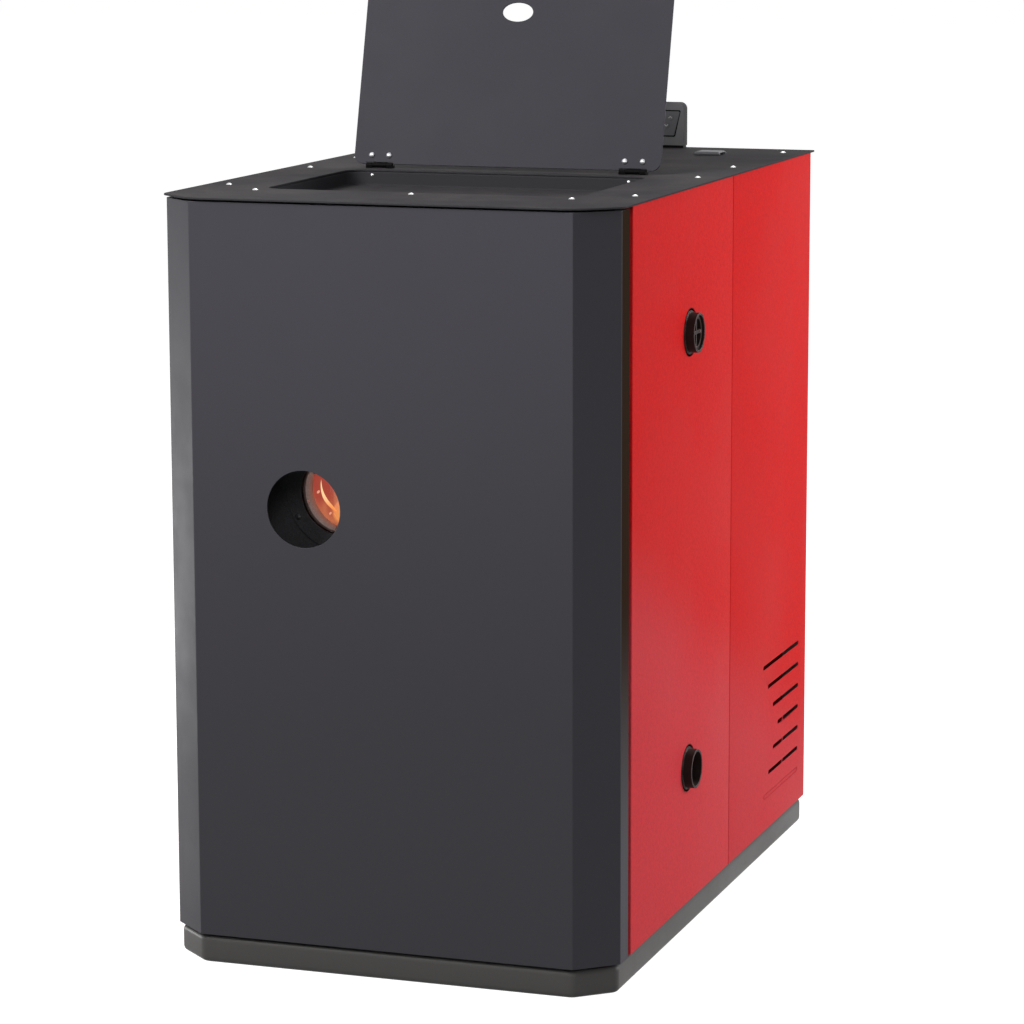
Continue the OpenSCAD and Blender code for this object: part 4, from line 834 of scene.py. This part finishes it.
@dataclass
class Assembly:
    """A sub-assembly of rounded copies of CAD solids, and of solids that stay as they are.

    A row of copies holds a finish, the width of the rounding in metres, its segments and the nodes. A row
    of solids holds a finish and the nodes.
    """

    copies: Copies = ()
    solids: Solids = ()

    def build(self) -> None:
        """Stands the copies in their places and dresses the other solids."""
        for finish, edge, steps, nodes in self.copies:
            for node in nodes.split():
                rounded_copy(node, finish, edge, steps)
        for finish, nodes in self.solids:
            for node in nodes.split():
                dress(node, finish)


@dataclass
class Casing(Assembly):
    """Folded outer sheets, top plate, plinth and the frame behind them.

    A corner of the plinth's plan is given by its place and its radius.
    """

    copies: Copies = (
        (RED_PAINT, 0.0011, 2, "right_front_panel right_rear_panel left_front_panel left_rear_panel"),
        (RED_PAINT, 0.0006, 2, "rear_panel"),
        (PLATE_PAINT, 0.0009, 3, "top_plate"),
        (COVER_LIT_PAINT, 0.0006, 2, "cable_cover"),
        (PLATE_PAINT, 0.0008, 2, "front_frame"))
    solids: Solids = (
        (ZINC_SHEET, "chassis"), (BLACK_PAINT, "base_plate"), (BLACK_PLASTIC, "door_magnets"), (SCREW_STEEL, "screws"))
    rear_y: float = 0.55
    screw_x: float = 0.318
    screw_heights: tuple[float, ...] = (0.09, 0.36, 0.63, 0.9, 1.1)
    screw_head: tuple[Pair, ...] = (
        (0, 0.0008), (0.0011, 0.0008), (0.0012, 0.0026), (0.003, 0.0023), (0.004, 0.0014), (0.0042, 0), (0, 0))
    screw_sides: int = 20
    plinth_plan: tuple[Point, ...] = (
        (-0.2915, -0.546, 0.022), (0.2915, -0.546, 0.022), (0.346, -0.4982, 0.014), (0.346, 0.546, 0.0095),
        (-0.346, 0.546, 0.0095), (-0.346, -0.4982, 0.014))
    plinth_steps: int = 8
    plinth_high: float = 0.042
    plinth_round: float = 0.009
    plinth_wall: float = 0.03
    plinth_floor: float = 0.003

    def build(self) -> None:
        """Builds every piece of the casing."""
        super().build()
        self.plinth()
        self.rear_screws()

    def plinth_ring(self, inset: float) -> list[Pair]:
        """Outline of the plinth with round corners.

        Args:
            inset: How far it lies inside the outermost line.

        Returns:
            Its points, counter-clockwise.
        """
        ring = []
        corners = [Vector((x, y)) for x, y, _ in self.plinth_plan]
        for k, (corner, spec) in enumerate(zip(corners, self.plinth_plan)):
            came = (corner - corners[k - 1]).normalized()
            goes = (corners[(k + 1) % len(corners)] - corner).normalized()
            first, last = Vector((came.y, -came.x)), Vector((goes.y, -goes.x))
            radius = max(spec[2] - inset, 0.002)
            centre = corner - (inset + radius) * (first + last) / (1 + first.dot(last))
            start, sweep = math.atan2(first.y, first.x), first.angle(last)
            for step in range(self.plinth_steps + 1):
                turn = start + sweep * step / self.plinth_steps
                ring.append((centre.x + radius * math.cos(turn), centre.y + radius * math.sin(turn)))
        return ring

    def plinth(self) -> None:
        """The plinth: a ring with soft corners and round edges, open at its top."""
        bend = [math.radians(t) for t in range(0, 91, 15)]
        lower = [(self.plinth_round * (1 - math.sin(t)), self.plinth_round * (1 - math.cos(t))) for t in bend]
        upper = [(inset, self.plinth_high - z) for inset, z in reversed(lower)]
        inner = [(self.plinth_wall, self.plinth_high), (self.plinth_wall, self.plinth_floor)]
        bm = bmesh.new()
        rings = [[bm.verts.new((x, y, z)) for x, y in self.plinth_ring(inset)] for inset, z in lower + upper + inner]
        for low, high in zip(rings, rings[1:]):
            for k, vert in enumerate(low):
                j = (k + 1) % len(low)
                bm.faces.new((vert, low[j], high[j], high[k]))
        bm.faces.new(rings[0])
        bm.faces.new(rings[-1])
        bmesh.ops.recalc_face_normals(bm, faces=bm.faces)
        body = FRAME["nodes"]["plinth"]["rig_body"]
        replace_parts(publish("plinth_piece", bm, PLINTH_PAINT, body, 50), "plinth")

    def rear_screws(self) -> None:
        """Screws down both edges of the rear panel, each turned from its head's profile of radius and height."""
        bm = bmesh.new()
        back = Matrix.Rotation(math.pi / 2, 4, "X") @ Matrix.Scale(-1, 4, (0, 0, 1))
        for x in (-self.screw_x, self.screw_x):
            for z in self.screw_heights:
                before = set(bm.verts)
                points = [bm.verts.new((radius, 0, high)) for radius, high in self.screw_head]
                edges = [bm.edges.new(pair) for pair in zip(points, points[1:])]
                bmesh.ops.spin(bm, geom=points + edges, axis=(0, 0, 1), cent=(0, 0, 0), angle=math.tau,
                               steps=self.screw_sides, use_merge=True)
                made = [vert for vert in bm.verts if vert not in before]
                bmesh.ops.transform(bm, matrix=Matrix.Translation((x, self.rear_y, z)) @ back, verts=made)
                bmesh.ops.remove_doubles(bm, verts=made, dist=1e-7)
        bmesh.ops.recalc_face_normals(bm, faces=bm.faces)
        publish("rear_panel_screws", bm, SCREW_STEEL, "casing")


@dataclass
class FrontDoor(Assembly):
    """The folded door sheet with its frame and hinges; its chamfers and returns take darker copies of the paint:
    painted shade, with painted reflections on the returns.
    """

    copies: Copies = ((ZINC_SHEET, 0.0008, 2, "door_frame"), (ZINC_SHEET, 0.0006, 2, "door_hinges"))
    edge: float = 0.0008
    flat_x: float = 0.28
    flat_slope: float = 0.3
    return_slope: float = 0.95

    def build(self) -> None:
        """Builds the door; how far a face turns aside tells a chamfer from the flat and from a return."""
        sheet = rounded_copy("front_door", DOOR_PAINT, self.edge, 3).data
        # darker copies for the chamfers and the returns: painted shade and painted reflections
        sheet.materials.append(DOOR_CHAMFER_SHADE.material())
        sheet.materials.append(DOOR_RETURN_PAINTED_LIGHT.material())
        for face in sheet.polygons:
            aside = abs(face.normal.x)
            flat = aside < self.flat_slope or abs(face.center.x) < self.flat_x
            face.material_index = 0 if flat else 1 + int(aside > self.return_slope)
        super().build()


@dataclass
class FireDoor(Assembly):
    """Cast inner door with its fittings, and the board behind it, whose round tunnel is in line with the view.

    The board is given by its left, right, lower and upper edge.
    """

    copies: Copies = (
        (CAST, 0.0016, 3, "fire_door"),
        (CAST, 0.0008, 2, "glass_ring"),
        (BOILER_STEEL, 0.0008, 2, "fire_door_knob"),
        (ZINC_SHEET, 0.0006, 2, "fire_door_fittings"),
        (ROPE_FIBRE, 0.003, 4, "door_rope"))
    solids: Solids = ((GLASS_CLEAR, "sight_glass"),)
    view: Pair = (-0.108, 0.705)
    tunnel: float = 0.062
    sides: int = 72
    board: tuple[float, float, float, float] = (-0.236, -0.002, 0.558, 0.842)
    board_y: Pair = (-0.4152, -0.386)

    def build(self) -> None:
        """Builds the fire door."""
        super().build()
        self.heat_board()

    def heat_board(self) -> None:
        """The ceramic board that keeps the fire off the cast door, with its tunnel in line with the glass."""
        bm = bmesh.new()
        x, z = self.view
        x0, x1, z0, z1 = self.board
        rings = []
        for y in self.board_y:
            outer, inner = [], []
            for k in range(self.sides):
                turn = k * math.tau / self.sides
                dx, dz = math.cos(turn), math.sin(turn)
                reach = min(((x1 if dx > 0 else x0) - x) / dx if dx else FAR,
                            ((z1 if dz > 0 else z0) - z) / dz if dz else FAR)
                outer.append(bm.verts.new((x + dx * reach, y, z + dz * reach)))
                inner.append(bm.verts.new((x + dx * self.tunnel, y, z + dz * self.tunnel)))
            rings += [outer, inner]
        for a, b in ((0, 1), (1, 3), (3, 2), (2, 0)):
            for k in range(self.sides):
                j = (k + 1) % self.sides
                bm.faces.new((rings[a][k], rings[a][j], rings[b][j], rings[b][k]))
        bmesh.ops.recalc_face_normals(bm, faces=bm.faces)
        publish("fire_door_board", bm, DOOR_BOARD, "fire_door")


@dataclass
class Burner(Assembly):
    """Burner pot with its fire, and the lining round it."""

    copies: Copies = (
        (CAST, 0.0012, 2, "burner_pot"),
        (LINING_BOARD, 0.0015, 2, "firebox_lining"),
        (BOILER_STEEL, 0.0008, 2, "ash_drawer"))
    solids: Solids = ((SCREW_STEEL, "igniter"),)
    x: float = -0.119
    y: float = -0.2465
    floor: float = 0.308
    inner: float = 0.061
    coals: int = 110
    coal_radius: float = 0.003
    tongues: int = 9
    tongue_y: float = -0.372
    curl: tuple[Pair, ...] = ((-0.1385, 0.6665), (-0.1535, 0.6795), (-0.1635, 0.69), (-0.1622, 0.714))
    # the third, at the tunnel's wall, is a painted glint
    spark_and_glint_spots: tuple[tuple[float, float, float, float], ...] = (
        (-0.167, -0.372, 0.6948, 0.0024), (-0.148, -0.372, 0.6632, 0.002), (-0.1665, -0.412, 0.687, 0.0012),
        (-0.12, -0.29, 0.69, 0.0016))
    seed: int = 7

    def build(self) -> None:
        """Builds the pot, the lining, the embers and the flames."""
        super().build()
        self.ember_bed()
        self.flames()
        self.sparks_and_glints()

    def ember_bed(self) -> None:
        """A heap of coals in the pot with glowing pellets on it."""
        bm = bmesh.new()
        place = Matrix.Translation((self.x, self.y, self.floor + 0.012)) @ Matrix.Diagonal((1, 1, 0.38, 1))
        bmesh.ops.create_uvsphere(bm, u_segments=40, v_segments=20, radius=self.inner - 0.002, matrix=place)
        for vert in bm.verts:
            vert.co.z = max(vert.co.z, self.floor + 0.0005)
            if vert.co.z > self.floor + 0.002:
                vert.co.z += 0.006 * noise.noise(vert.co * 90)
        pile = random.Random(self.seed)
        for _ in range(self.coals):
            turn, away = pile.uniform(0, math.tau), self.inner * 0.86 * math.sqrt(pile.random())
            height = self.floor + 0.013 + 0.02 * math.cos(away / self.inner * 1.4)
            place = Matrix.Translation((self.x + away * math.cos(turn), self.y + away * math.sin(turn), height))
            place @= Matrix.Rotation(pile.uniform(0, math.pi), 4, "Z") @ Matrix.Rotation(pile.uniform(1.1, 2.0), 4, "X")
            bmesh.ops.create_cone(bm, cap_ends=True, segments=8, radius1=self.coal_radius, radius2=self.coal_radius,
                                  depth=pile.uniform(0.008, 0.018), matrix=place)
        publish("ember_bed", bm, EMBERS, "casing", 40)

    def tongue(self, bm: bmesh.types.BMesh, path: Callable[[float], Vector], width: float, flat: float = 1.0,
               swell: float = 0.62) -> None:
        """Adds one flame to a mesh: a ball drawn out into a drop that follows a line.

        Args:
            bm: The mesh.
            path: Its middle line, from foot to tip at 0 to 1.
            width: Its half width at the widest place.
            flat: Its depth as a share of its width.
            swell: How far up it is widest: less is lower.
        """
        before = set(bm.verts)
        bmesh.ops.create_uvsphere(bm, u_segments=20, v_segments=28, radius=1)
        for vert in set(bm.verts) - before:
            share = (vert.co.z + 1) / 2
            reach = max(1e-6, math.hypot(vert.co.x, vert.co.y))
            girth = width * (math.sin(math.pi * share ** swell) ** 0.8 if 0 < share < 1 else 0)
            ripple = 1 + 0.16 * noise.noise(Vector((vert.co.x * 1.3, vert.co.y * 1.3, share * 4)) + path(0) * 20)
            vert.co = path(share) + Vector((vert.co.x / reach * girth, vert.co.y / reach * girth * flat, 0)) * ripple

    def ball(self, finish: Fire, columns: int, rows: int, ripple: float) -> None:
        """Builds the ellipsoid that a fire with a spread fades out in.

        Args:
            finish: The fire's finish.
            columns: Segments round the ball.
            rows: Segments from pole to pole.
            ripple: How far noise moves its points, in metres.
        """
        bm = bmesh.new()
        place = Matrix.Translation(finish.centre) @ Matrix.Diagonal((*finish.spread, 1))
        bmesh.ops.create_uvsphere(bm, u_segments=columns, v_segments=rows, radius=1, matrix=place)
        for vert in bm.verts:
            vert.co.y += ripple * noise.noise(vert.co * 30)
        publish(finish.name, bm, finish, "casing", 60)

    def flames(self) -> None:
        """The body of the fire, the soft glow before it and the bright tongue that curls up in front."""
        bm = bmesh.new()
        wild = random.Random(self.seed + 1)
        for k in range(self.tongues):
            turn = k * math.tau / self.tongues
            away = 0.034 if k % 3 else 0.008
            foot = Vector((self.x + away * math.cos(turn), self.y + away * math.sin(turn), self.floor + 0.02))
            bend, sway = wild.uniform(-0.03, 0.01), wild.uniform(-0.03, 0.02)
            phase, tall = wild.uniform(0, 6), wild.uniform(0.3, 0.42)
            self.tongue(bm, lambda s, f=foot, b=bend, w=sway, p=phase, t=tall: f + Vector(
                (b * s + 0.012 * math.sin(5 * s + p), w * s + 0.01 * math.sin(4 * s + p + 2), t * s)),
                wild.uniform(0.022, 0.034))
        publish("flame_body", bm, FLAME, "casing", 60)
        self.ball(FLAME_GLOW, 48, 32, 0.01)
        bm = bmesh.new()
        foot, rise, bend, tip = (Vector((x, self.tongue_y, z)) for x, z in self.curl)
        self.tongue(bm, lambda s: foot * (1 - s) ** 3 + rise * 3 * s * (1 - s) ** 2 + bend * 3 * s * s * (1 - s)
                    + tip * s ** 3, 0.0034, 0.7, 0.5)
        publish("flame_tongue", bm, FLAME_HEART, "casing", 60)
        self.ball(FLAME_FOOT, 32, 20, 0.0)

    def sparks_and_glints(self) -> None:
        """A few glowing specks in the draught before the glass, partly flying embers and partly painted glints; the one
        at the tunnel's wall is a painted glint.
        """
        bm = bmesh.new()
        for x, y, z, size in self.spark_and_glint_spots:
            place = Matrix.Translation((x, y, z)) @ Matrix.Rotation(0.7, 4, "Y") @ Matrix.Diagonal((0.8, 0.8, 1.3, 1))
            bmesh.ops.create_icosphere(bm, subdivisions=2, radius=size, matrix=place)
        publish("sparks_and_glints", bm, SPARK_AND_GLINT, "casing", 60)


@dataclass
class BoilerBody(Assembly):
    """Welded water jacket with its boards, tubes, flue and cover."""

    copies: Copies = (
        (BOILER_STEEL, 0.0015, 2, "boiler_body"),
        (BOARD_FIBRE, 0.003, 2, "insulation"),
        (BOILER_STEEL, 0.001, 2, "exchanger_cover"),
        (BLACK_PAINT, 0.0006, 2, "flue_pipe"))
    solids: Solids = ((BOILER_STEEL, "exchanger_tubes turbulators"),)


@dataclass
class WarmingPan(Assembly):
    """The pan in the top plate, and the lid that stands open behind it."""

    copies: Copies = (
        (PLATE_PAINT, 0.003, 4, "warming_pan"),
        (LID_PAINTED_LIGHT, 0.0008, 3, "pan_lid"),
        (BLACK_PAINT, 0.0005, 2, "lid_hinge_blocks"),
        (BLACK_PAINT, 0.0004, 2, "lid_hinge_leaves"),
        (BOLT_STEEL_PAINTED_SHADE, 0.0003, 2, "lid_bolts"))


@dataclass
class WaterPipes(Assembly):
    """Flow and return sockets, and the plug in the flow socket."""

    copies: Copies = ((PIPE_BLACK, 0.0006, 2, "flow_socket return_socket"), (PIPE_BLACK, 0.0008, 2, "flow_plug"))


@dataclass
class PelletFeed(Assembly):
    """Hopper with its pellets, feed tube, screw and gear motor; sink holds the hollow's widths and depth."""

    copies: Copies = (
        (ZINC_SHEET, 0.0006, 2, "hopper"),
        (PLATE_PAINT, 0.0006, 2, "hopper_lid"),
        (BLACK_PAINT, 0.0004, 2, "hopper_hinge_blocks"),
        (BOILER_STEEL, 0.0006, 2, "auger_tube"),
        (MOTOR_PAINT, 0.0008, 2, "gear_motor"))
    solids: Solids = ((BOILER_STEEL, "feed_auger"),)
    level: float = 0.9
    half_x: float = 0.297
    y0: float = 0.0925
    y1: float = 0.511
    margin: float = 0.012
    spout: Pair = (-0.119, 0.24)
    sink: Point = (0.14, 0.12, 0.05)
    loose: int = 1500
    pellet_radius: float = 0.003
    seed: int = 3

    def build(self) -> None:
        """Builds the feed."""
        super().build()
        self.pellet_heap()

    def surface(self, x: float, y: float) -> float:
        """Gives the height of the heap at a place in the hopper; it sinks towards the spout."""
        sunk = math.exp(-(((x - self.spout[0]) / self.sink[0]) ** 2 + ((y - self.spout[1]) / self.sink[1]) ** 2))
        return self.level - self.sink[2] * sunk + 0.008 * noise.noise(Vector((x * 14, y * 14, 0)))

    def pellet_heap(self) -> None:
        """The heap of pellets, with loose ones on its surface."""
        bm = bmesh.new()
        middle = (self.y0 + self.y1) / 2
        size = Matrix.Translation((0, middle, 0)) @ Matrix.Diagonal((self.half_x, (self.y1 - self.y0) / 2, 1, 1))
        bmesh.ops.create_grid(bm, x_segments=60, y_segments=44, size=1, matrix=size)
        for vert in bm.verts:
            vert.co.z = self.surface(vert.co.x, vert.co.y) + 0.0025 * noise.noise(vert.co * 160)
        bmesh.ops.solidify(bm, geom=bm.faces[:], thickness=0.05)
        bmesh.ops.recalc_face_normals(bm, faces=bm.faces)
        rolls = random.Random(self.seed)
        edge = self.half_x - self.margin
        for _ in range(self.loose):
            x, y = rolls.uniform(-edge, edge), rolls.uniform(self.y0 + self.margin, self.y1 - self.margin)
            place = Matrix.Translation((x, y, self.surface(x, y) + rolls.uniform(0.0005, 0.003)))
            lie = Matrix.Rotation(rolls.uniform(0, math.pi), 4, "Z") @ Matrix.Rotation(rolls.gauss(1.57, 0.22), 4, "X")
            bmesh.ops.create_cone(bm, cap_ends=True, segments=7, radius1=self.pellet_radius,
                                  radius2=self.pellet_radius, depth=rolls.uniform(0.009, 0.024), matrix=place @ lie)
        publish("pellet_heap", bm, PELLETS, "casing", 40)


@dataclass
class Blower(Assembly):
    """Fan housing, impeller and motor under the hopper."""

    copies: Copies = ((ZINC_SHEET, 0.0006, 2, "blower_housing"), (MOTOR_PAINT, 0.0012, 2, "blower_motor"))
    solids: Solids = ((ZINC_SHEET, "blower_impeller"),)


@dataclass
class Wiring(Assembly):
    """Control box, mains inlet and its switch."""

    copies: Copies = (
        (GREY_PLASTIC, 0.0015, 3, "control_box"),
        (BLACK_PLASTIC, 0.0006, 2, "mains_inlet"),
        (SWITCH_PLASTIC, 0.0005, 2, "mains_switch"))


@dataclass
class Console(Assembly):
    """The console at the rear edge, with its facia, window, keys and their marks.

    Each key has its middle and the bars of its sign: place from the middle, length, thickness and slope.
    """

    copies: Copies = (
        (FACIA_PLASTIC, 0.0004, 2, "facia"), (FACIA_PLASTIC, 0.0006, 3, "key_menu key_back key_up key_down"))
    solids: Solids = ((BLACK_PLASTIC, "console_foot"), (WINDOW_PLASTIC, "display_window"))
    edge: float = 0.0009
    face_y: float = 0.5274
    groove_y: Pair = (0.5282, 0.5304)
    mark: float = 0.00012
    keys: tuple[tuple[str, float, float, tuple], ...] = (
        ("key_menu", -0.112, 1.201, tuple((0, dz, 0.0052, 0.0007, 0) for dz in (-0.0018, 0, 0.0018))),
        ("key_back", -0.105, 1.188, ((0, 0, 0.005, 0.0007, 0), (-0.0018, 0.0011, 0.003, 0.0007, -45),
                                     (-0.0018, -0.0011, 0.003, 0.0007, 45))),
        ("key_up", 0.112, 1.201, ((-0.0015, 0.0003, 0.0044, 0.0011, -42), (0.0015, 0.0003, 0.0044, 0.0011, 42))),
        ("key_down", 0.105, 1.188, ((-0.0015, -0.0003, 0.0044, 0.0011, 42), (0.0015, -0.0003, 0.0044, 0.0011, -42))))

    def build(self) -> None:
        """Builds the console; its face is painted lighter (painted light), its groove near black and what doesn't face
        the front darker (painted shade).
        """
        shell = rounded_copy("console", CONSOLE_LIT_PAINT, self.edge, 3).data
        shell.materials.append(CONSOLE_SHADED_SIDE.material())
        shell.materials.append(CONSOLE_GROOVE_SHADE.material())
        for face in shell.polygons:
            groove = self.groove_y[0] < face.center.y < self.groove_y[1]
            face.material_index = 2 if groove else int(face.normal.y > -0.3)
        super().build()
        for key, x, z, bars in self.keys:
            self.key_mark(key, x, z, bars)

    def key_mark(self, key: str, x: float, z: float, bars: tuple) -> None:
        """Prints a plain sign on a key: bars, a return arrow, or an arrow up or down.

        Args:
            key: The key's body.
            x: The key's middle.
            z: The key's middle height.
            bars: The bars of the sign.
        """
        bm = bmesh.new()
        for dx, dz, wide, high, turn in bars:
            place = Matrix.Translation((x + dx, self.face_y, z + dz)) @ Matrix.Rotation(math.radians(turn), 4, "Y")
            bmesh.ops.create_cube(bm, size=1, matrix=place @ Matrix.Diagonal((wide, self.mark, high, 1)))
        publish(key + "_mark", bm, WHITE_PRINT, key)


class Lamp(Enum):
    """The studio's lamps: place, aim, size and power in watts."""

    KEY = ((-1.8, -3.3, 3.6), (0, 0, 1.0), (2.0, 2.0), 198.0)
    LEFT = ((-2.75, 0.2, 0.14), (-0.32, -0.52, 0.3), (0.6, 0.24), 29.0)
    FRONT = ((1.9, -5.2, 3.2), (0, 0, 1.1), (1.6, 1.6), 72.0)
    RIGHT = ((4.6, 3.0, 2.1), (0.3, 0, 0.6), (2.6, 2.6), 290.0)
    TOP = ((0.1, 1.4, 4.2), (0, 0.4, 1.1), (2.2, 2.2), 52.0)


@dataclass
class Studio:
    """Floor, world, lamps and the camera."""

    position: Point = (1.919, -5.512, 1.642)
    yaw: float = 0.33314
    pitch: float = 0.174876
    roll: float = math.radians(-0.147)
    lens: float = 131.52
    sensor: float = 36.0
    ambient: float = 0.16
    floor_size: float = 30.0
    floor_glow: float = 0.95
    fire_place: Point = (-0.062, -0.372, 0.715)
    fire_colour: Colour = (1.0, 0.9, 0.86)
    fire_power: float = 0.25
    fire_size: float = 0.012

    def build(self) -> None:
        """Builds the studio."""
        bpy.context.scene.view_settings.view_transform = "Standard"
        self.floor()
        self.world()
        for lamp in Lamp:
            self.lamp(lamp)
        self.camera()
        self.firelight()

    def firelight(self) -> None:
        """A small warm lamp behind the fire door that lights its tunnel; only its light is seen."""
        data = bpy.data.lights.new("firelight", "POINT")
        data.energy, data.color, data.shadow_soft_size = self.fire_power, self.fire_colour, self.fire_size
        lamp = bpy.data.objects.new(data.name, data)
        lamp.location = self.fire_place
        lamp.visible_camera = lamp.visible_transmission = lamp.visible_glossy = False
        bpy.context.scene.collection.objects.link(lamp)

    def seen(self, g: Graph) -> Socket:
        """Gives 1 for what the camera sees, straight, mirrored or through glass.

        Args:
            g: The graph that it is added to.

        Returns:
            The value.
        """
        path = g.add("LightPath").outputs
        looks = g.math("MAXIMUM", path["Is Camera Ray"], path["Is Glossy Ray"])
        return g.math("MAXIMUM", looks, path["Is Transmission Ray"])

    def floor(self) -> None:
        """A plain pale floor that keeps the object's shadow."""
        bm = bmesh.new()
        bmesh.ops.create_grid(bm, x_segments=1, y_segments=1, size=self.floor_size)
        mesh = bpy.data.meshes.new("floor")
        bm.to_mesh(mesh)
        bm.free()
        material = bpy.data.materials.new("studio_floor")
        g = fresh_graph(material)
        tint = g.blend(g.noise(g.place(), 1.5, 3.0), (0.34, 0.34, 0.34, 1), (0.38, 0.38, 0.38, 1))
        matt = g.add("BsdfDiffuse", {"Color": tint}).outputs[0]
        glow = g.add("Emission", {"Color": WHITE, "Strength": self.floor_glow}).outputs[0]
        shown = g.add("AddShader", {0: matt, 1: glow}).outputs[0]
        both = g.add("MixShader", {0: self.seen(g), 1: matt, 2: shown}).outputs[0]
        g.add("OutputMaterial", {"Surface": both})
        mesh.materials.append(material)
        floor = bpy.data.objects.new("floor", mesh)
        bpy.context.scene.collection.objects.link(floor)

    def world(self) -> None:
        """Soft light from all round, with a white backdrop for what the camera sees."""
        world = bpy.data.worlds.new("studio_light")
        bpy.context.scene.world = world
        g = fresh_graph(world)
        fill = g.add("Background", {"Color": WHITE, "Strength": self.ambient}).outputs[0]
        white = g.add("Background", {"Color": WHITE, "Strength": 1.0}).outputs[0]
        both = g.add("MixShader", {0: self.seen(g), 1: fill, 2: white}).outputs[0]
        g.add("OutputWorld", {"Surface": both})

    def lamp(self, kind: Lamp) -> None:
        """Adds one soft lamp.

        Args:
            kind: Which one.
        """
        place, aim, size, power = kind.value
        data = bpy.data.lights.new(kind.name.lower() + "_lamp", "AREA")
        data.shape, data.energy = "RECTANGLE", power
        data.size, data.size_y = size
        lamp = bpy.data.objects.new(data.name, data)
        lamp.location = place
        lamp.rotation_euler = (Vector(aim) - Vector(place)).to_track_quat("-Z", "Y").to_euler()
        bpy.context.scene.collection.objects.link(lamp)

    def camera(self) -> None:
        """Stands the camera where the photograph was taken from."""
        data = bpy.data.cameras.new("camera")
        data.lens, data.sensor_width = self.lens, self.sensor
        ahead = Vector((-math.sin(self.yaw) * math.cos(self.pitch), math.cos(self.yaw) * math.cos(self.pitch),
                        -math.sin(self.pitch)))
        right = ahead.cross(Vector((0, 0, 1))).normalized()
        up = right.cross(ahead)
        along = right * math.cos(self.roll) + up * math.sin(self.roll)
        over = up * math.cos(self.roll) - right * math.sin(self.roll)
        turn = Matrix((along, over, -ahead)).transposed().to_4x4()
        camera = bpy.data.objects.new("camera", data)
        camera.matrix_world = Matrix.Translation(self.position) @ turn
        bpy.context.scene.collection.objects.link(camera)
        bpy.context.scene.camera = camera


def main() -> None:
    """Builds the studio and every sub-assembly in order."""
    logging.basicConfig(level=logging.INFO, format="%(message)s")
    for part in (Studio(), Casing(), FrontDoor(), FireDoor(), Burner(), BoilerBody(), WarmingPan(), WaterPipes(),
                 PelletFeed(), Blower(), Wiring(), Console()):
        part.build()
        log.info("%s is done", type(part).__name__)


if __name__ == "__main__":
    main()
